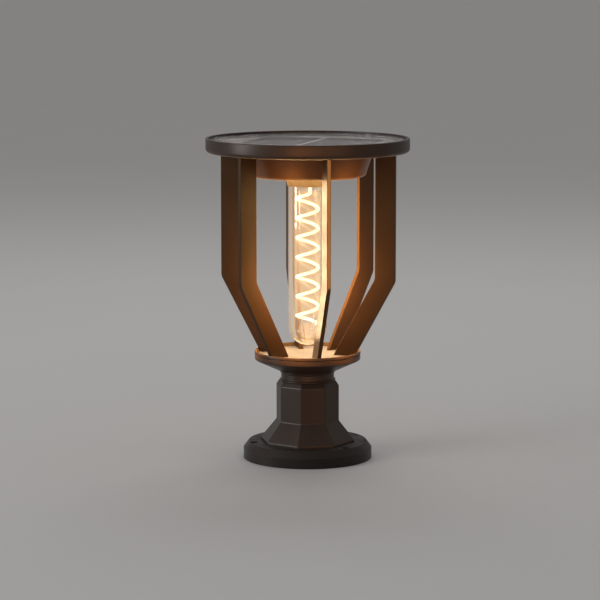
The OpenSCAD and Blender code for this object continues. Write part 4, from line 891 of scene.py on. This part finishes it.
coil = {"r": 4.9, "wire": 0.2, "turns": 2.5, "low": 282.95, "top": 286.05, "y": 42.0, "steps": 60}
springPath = []
for i in range(coil["steps"] + 1):
    u = i / coil["steps"]
    angle = math.tau * coil["turns"] * u
    springPath.append((coil["r"] * math.cos(angle), coil["y"] + coil["r"] * math.sin(angle),
                       coil["low"] + (coil["top"] - coil["low"]) * u))
springPiece = makePiece("buttonSpring", wires([springPath], coil["wire"], 3), "spring_steel",
                        nodes=["button_spring"])
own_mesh(springPiece)
makePiece("batteryLeads", wires(batteryPaths, leads["r"], 3), "red_lead", nodes=["battery_leads"])
print("lamp done")

studio = {
    "floorR": 40.0, "floorColour": (0.60, 0.595, 0.59), "worldColour": (1.0, 0.975, 0.95),
    "worldStrength": 0.36, "cameraPlace": (0.69364, -2.28034, 0.4962),
    "cameraTurn": (90 - 8.103, 0, 17.1), "lens": 146.5,
}
bm = bmesh.new()
bmesh.ops.create_circle(bm, cap_ends=True, segments=96, radius=studio["floorR"])
mesh = bpy.data.meshes.new("studioFloor")
bm.to_mesh(mesh)
bm.free()
floor = bpy.data.objects.new("studioFloor", mesh)
scene.collection.objects.link(floor)
floorFinish, tree, shader = newFinish("studioFloor", studio["floorColour"], 0.9)
lighter = tuple(c * 1.03 for c in studio["floorColour"])
tree.links.new(mixIn(tree, noiseIn(tree, objectSpace(tree), 3.0, 2.0), studio["floorColour"], lighter),
               shader.inputs["Base Color"])
mesh.materials.append(floorFinish)

world = bpy.data.worlds.new("studio")
scene.world = world
world.use_nodes = True
backdrop = world.node_tree.nodes["Background"]
backdrop.inputs["Color"].default_value = (*studio["worldColour"], 1)
backdrop.inputs["Strength"].default_value = studio["worldStrength"]

# places, aims and sizes of the lights are in metres
softboxes = [
    {"name": "stripLeft", "place": (-1.84, -1.06, 0.25), "aim": (0, 0, 0.2), "size": (0.38, 1.5),
     "power": 26.0, "misses": ["studioFloor"]},
    {"name": "keyLeft", "place": (-1.75, -1.6, 1.3), "aim": (0, 0, 0.17), "size": (1.2, 1.2),
     "power": 12.0},
    {"name": "warmFront", "place": (1.5, -2.5, 0.35), "aim": (0, 0, 0.25), "size": (3.2, 0.7),
     "power": 26.0, "colour": (1.0, 0.42, 0.16), "misses": ["studioFloor", "flangeCasting", "coverGlass"]},
    {"name": "warmCap", "place": (0.15, -1.2, 0.22), "aim": (0, 0, 0.31), "size": (0.5, 0.2),
     "power": 3.4, "colour": (1.0, 0.33, 0.06), "only": ["capShell"]},
    {"name": "warmDish", "place": (0.25, -1.1, 0.03), "aim": (0, 0, 0.1), "size": (0.8, 0.2),
     "power": 3.2, "colour": (1.0, 0.40, 0.13), "only": ["dishCasting", "neckSpool"]},
    {"name": "underDish", "place": (0.1, -0.28, 0.02), "aim": (0, 0, 0.095), "size": (0.2, 0.05),
     "power": 0.12, "colour": (1.0, 0.36, 0.10), "only": ["dishCasting"]},
    {"name": "warmFin", "place": (0.58, -0.73, 0.06), "aim": (0.04, -0.07, 0.18), "size": (0.3, 0.3),
     "power": 15.0, "colour": (1.0, 0.55, 0.22), "only": ["finPlate6"]},
    {"name": "topBack", "place": (-0.3, 1.3, 1.9), "aim": (0, 0, 0.3), "size": (1.6, 0.9), "power": 9.0},
]


# a light linked to this collection falls on these pieces alone, or on all but these
def linkedTo(name, pieces, state="INCLUDE"):
    receivers = bpy.data.collections.new(name)
    for piece in pieces:
        receivers.objects.link(bpy.data.objects[piece])
    for member in receivers.collection_objects:
        member.light_linking.link_state = state
    return receivers


for box in softboxes:
    light = bpy.data.lights.new(box["name"], "AREA")
    light.shape = "RECTANGLE"
    light.size, light.size_y = box["size"]
    light.energy = box["power"]
    light.color = box.get("colour", (1.0, 1.0, 1.0))
    lightObject = bpy.data.objects.new(box["name"], light)
    lightObject.location = box["place"]
    lightObject.visible_camera = False
    away = Vector(box["aim"]) - Vector(box["place"])
    lightObject.rotation_euler = away.to_track_quat("-Z", "Y").to_euler()
    for key, state in (("Misses", "EXCLUDE"), ("Only", "INCLUDE")):
        if key.lower() in box:
            receivers = linkedTo(box["name"] + key, box[key.lower()], state)
            lightObject.light_linking.receiver_collection = receivers
    scene.collection.objects.link(lightObject)

# the lamp's own light along its axis, a column for the front fin alone, and rings of fill lights in
# and round the cage. None falls on the studio floor, and a ring without pieces of its own misses
# the dish floor and the lamp's glasses too. Radii and heights are in millimetres
glow = {
    "colour": (1.0, 0.40, 0.085), "ringCount": 6, "ringTurn": 30, "fillSize": 0.012,
    "axis": {"count": 8, "low": 154.0, "high": 268.0, "power": 8.2, "size": 0.016,
             "colour": (1.0, 0.56, 0.18)},
    "fin": {"count": 7, "low": 132, "step": 25, "place": (-0.016, -0.006), "power": 0.21, "size": 0.014,
            "colour": (1.0, 0.66, 0.36)},
    "rings": [
        {"name": "cageGlow", "r": 44.0, "z": 188.0, "power": 2.0},
        {"name": "footGlow", "r": 34.0, "z": 150.0, "power": 0.7},
        {"name": "brightFins", "r": 44.0, "z": 172.0, "power": 2.2, "colour": (1.0, 0.46, 0.12),
         "only": ["finPlate2", "finPlate5"]},
        {"name": "floorGlow", "r": 23.0, "z": 131.0, "power": 0.42, "colour": (1.0, 0.60, 0.27),
         "only": ["dishFloor"]},
        {"name": "housingGlow", "r": 77.0, "z": 262.0, "power": 1.9, "colour": (1.0, 0.34, 0.04),
         "only": ["housingShell"]},
        {"name": "collarGlow", "r": 36.0, "z": 256.0, "power": 3.6, "colour": (1.0, 0.62, 0.2),
         "only": ["lampCollar"]},
        {"name": "dishGlow", "r": 66.0, "z": 122.0, "power": 1.5, "only": ["dishCasting", "neckSpool"]},
    ],
}
unlitByLamp = linkedTo("unlitByLamp", ["studioFloor", "dishFloor", "lampGlassTube", "innerGlassTube",
                                       "glassFoot", "glassStem", "spiralFilament"], "EXCLUDE")
nearFin = linkedTo("nearFin", ["finPlate6"])


def addGlow(name, place, power, size, receivers=unlitByLamp, colour=glow["colour"]):
    light = bpy.data.lights.new(name, "POINT")
    light.energy = power
    light.color = colour
    light.shadow_soft_size = size
    lightObject = bpy.data.objects.new(name, light)
    lightObject.location = place
    lightObject.visible_camera = False
    lightObject.visible_transmission = False
    lightObject.light_linking.receiver_collection = receivers
    scene.collection.objects.link(lightObject)
    return lightObject


column = glow["axis"]
for k in range(column["count"]):
    z = column["low"] + (column["high"] - column["low"]) * k / (column["count"] - 1)
    addGlow("lampGlow%d" % k, (0, 0, z * mm), column["power"] / column["count"], column["size"],
            colour=column["colour"])
column = glow["fin"]
for k in range(column["count"]):
    z = column["low"] + column["step"] * k
    addGlow("finGlow%d" % k, (*column["place"], z * mm), column["power"], column["size"], nearFin,
            column["colour"])
for halo in glow["rings"]:
    receivers = linkedTo(halo["name"] + "Only", halo["only"]) if "only" in halo else unlitByLamp
    power, colour = halo["power"] / glow["ringCount"], halo.get("colour", glow["colour"])
    for k, (x, y) in enumerate(onCircle(halo["r"] * mm, glow["ringCount"], glow["ringTurn"])):
        fill = addGlow("%s%d" % (halo["name"], k), (x, y, halo["z"] * mm), power, glow["fillSize"],
                       receivers, colour)
        fill.visible_glossy = False

cameraData = bpy.data.cameras.new("camera")
cameraData.lens = studio["lens"]
cameraData.sensor_width = 36
camera = bpy.data.objects.new("camera", cameraData)
camera.location = studio["cameraPlace"]
camera.rotation_euler = degrees(*studio["cameraTurn"])
scene.collection.objects.link(camera)
scene.camera = camera
scene.view_settings.view_transform = "Standard"
print("studio done")
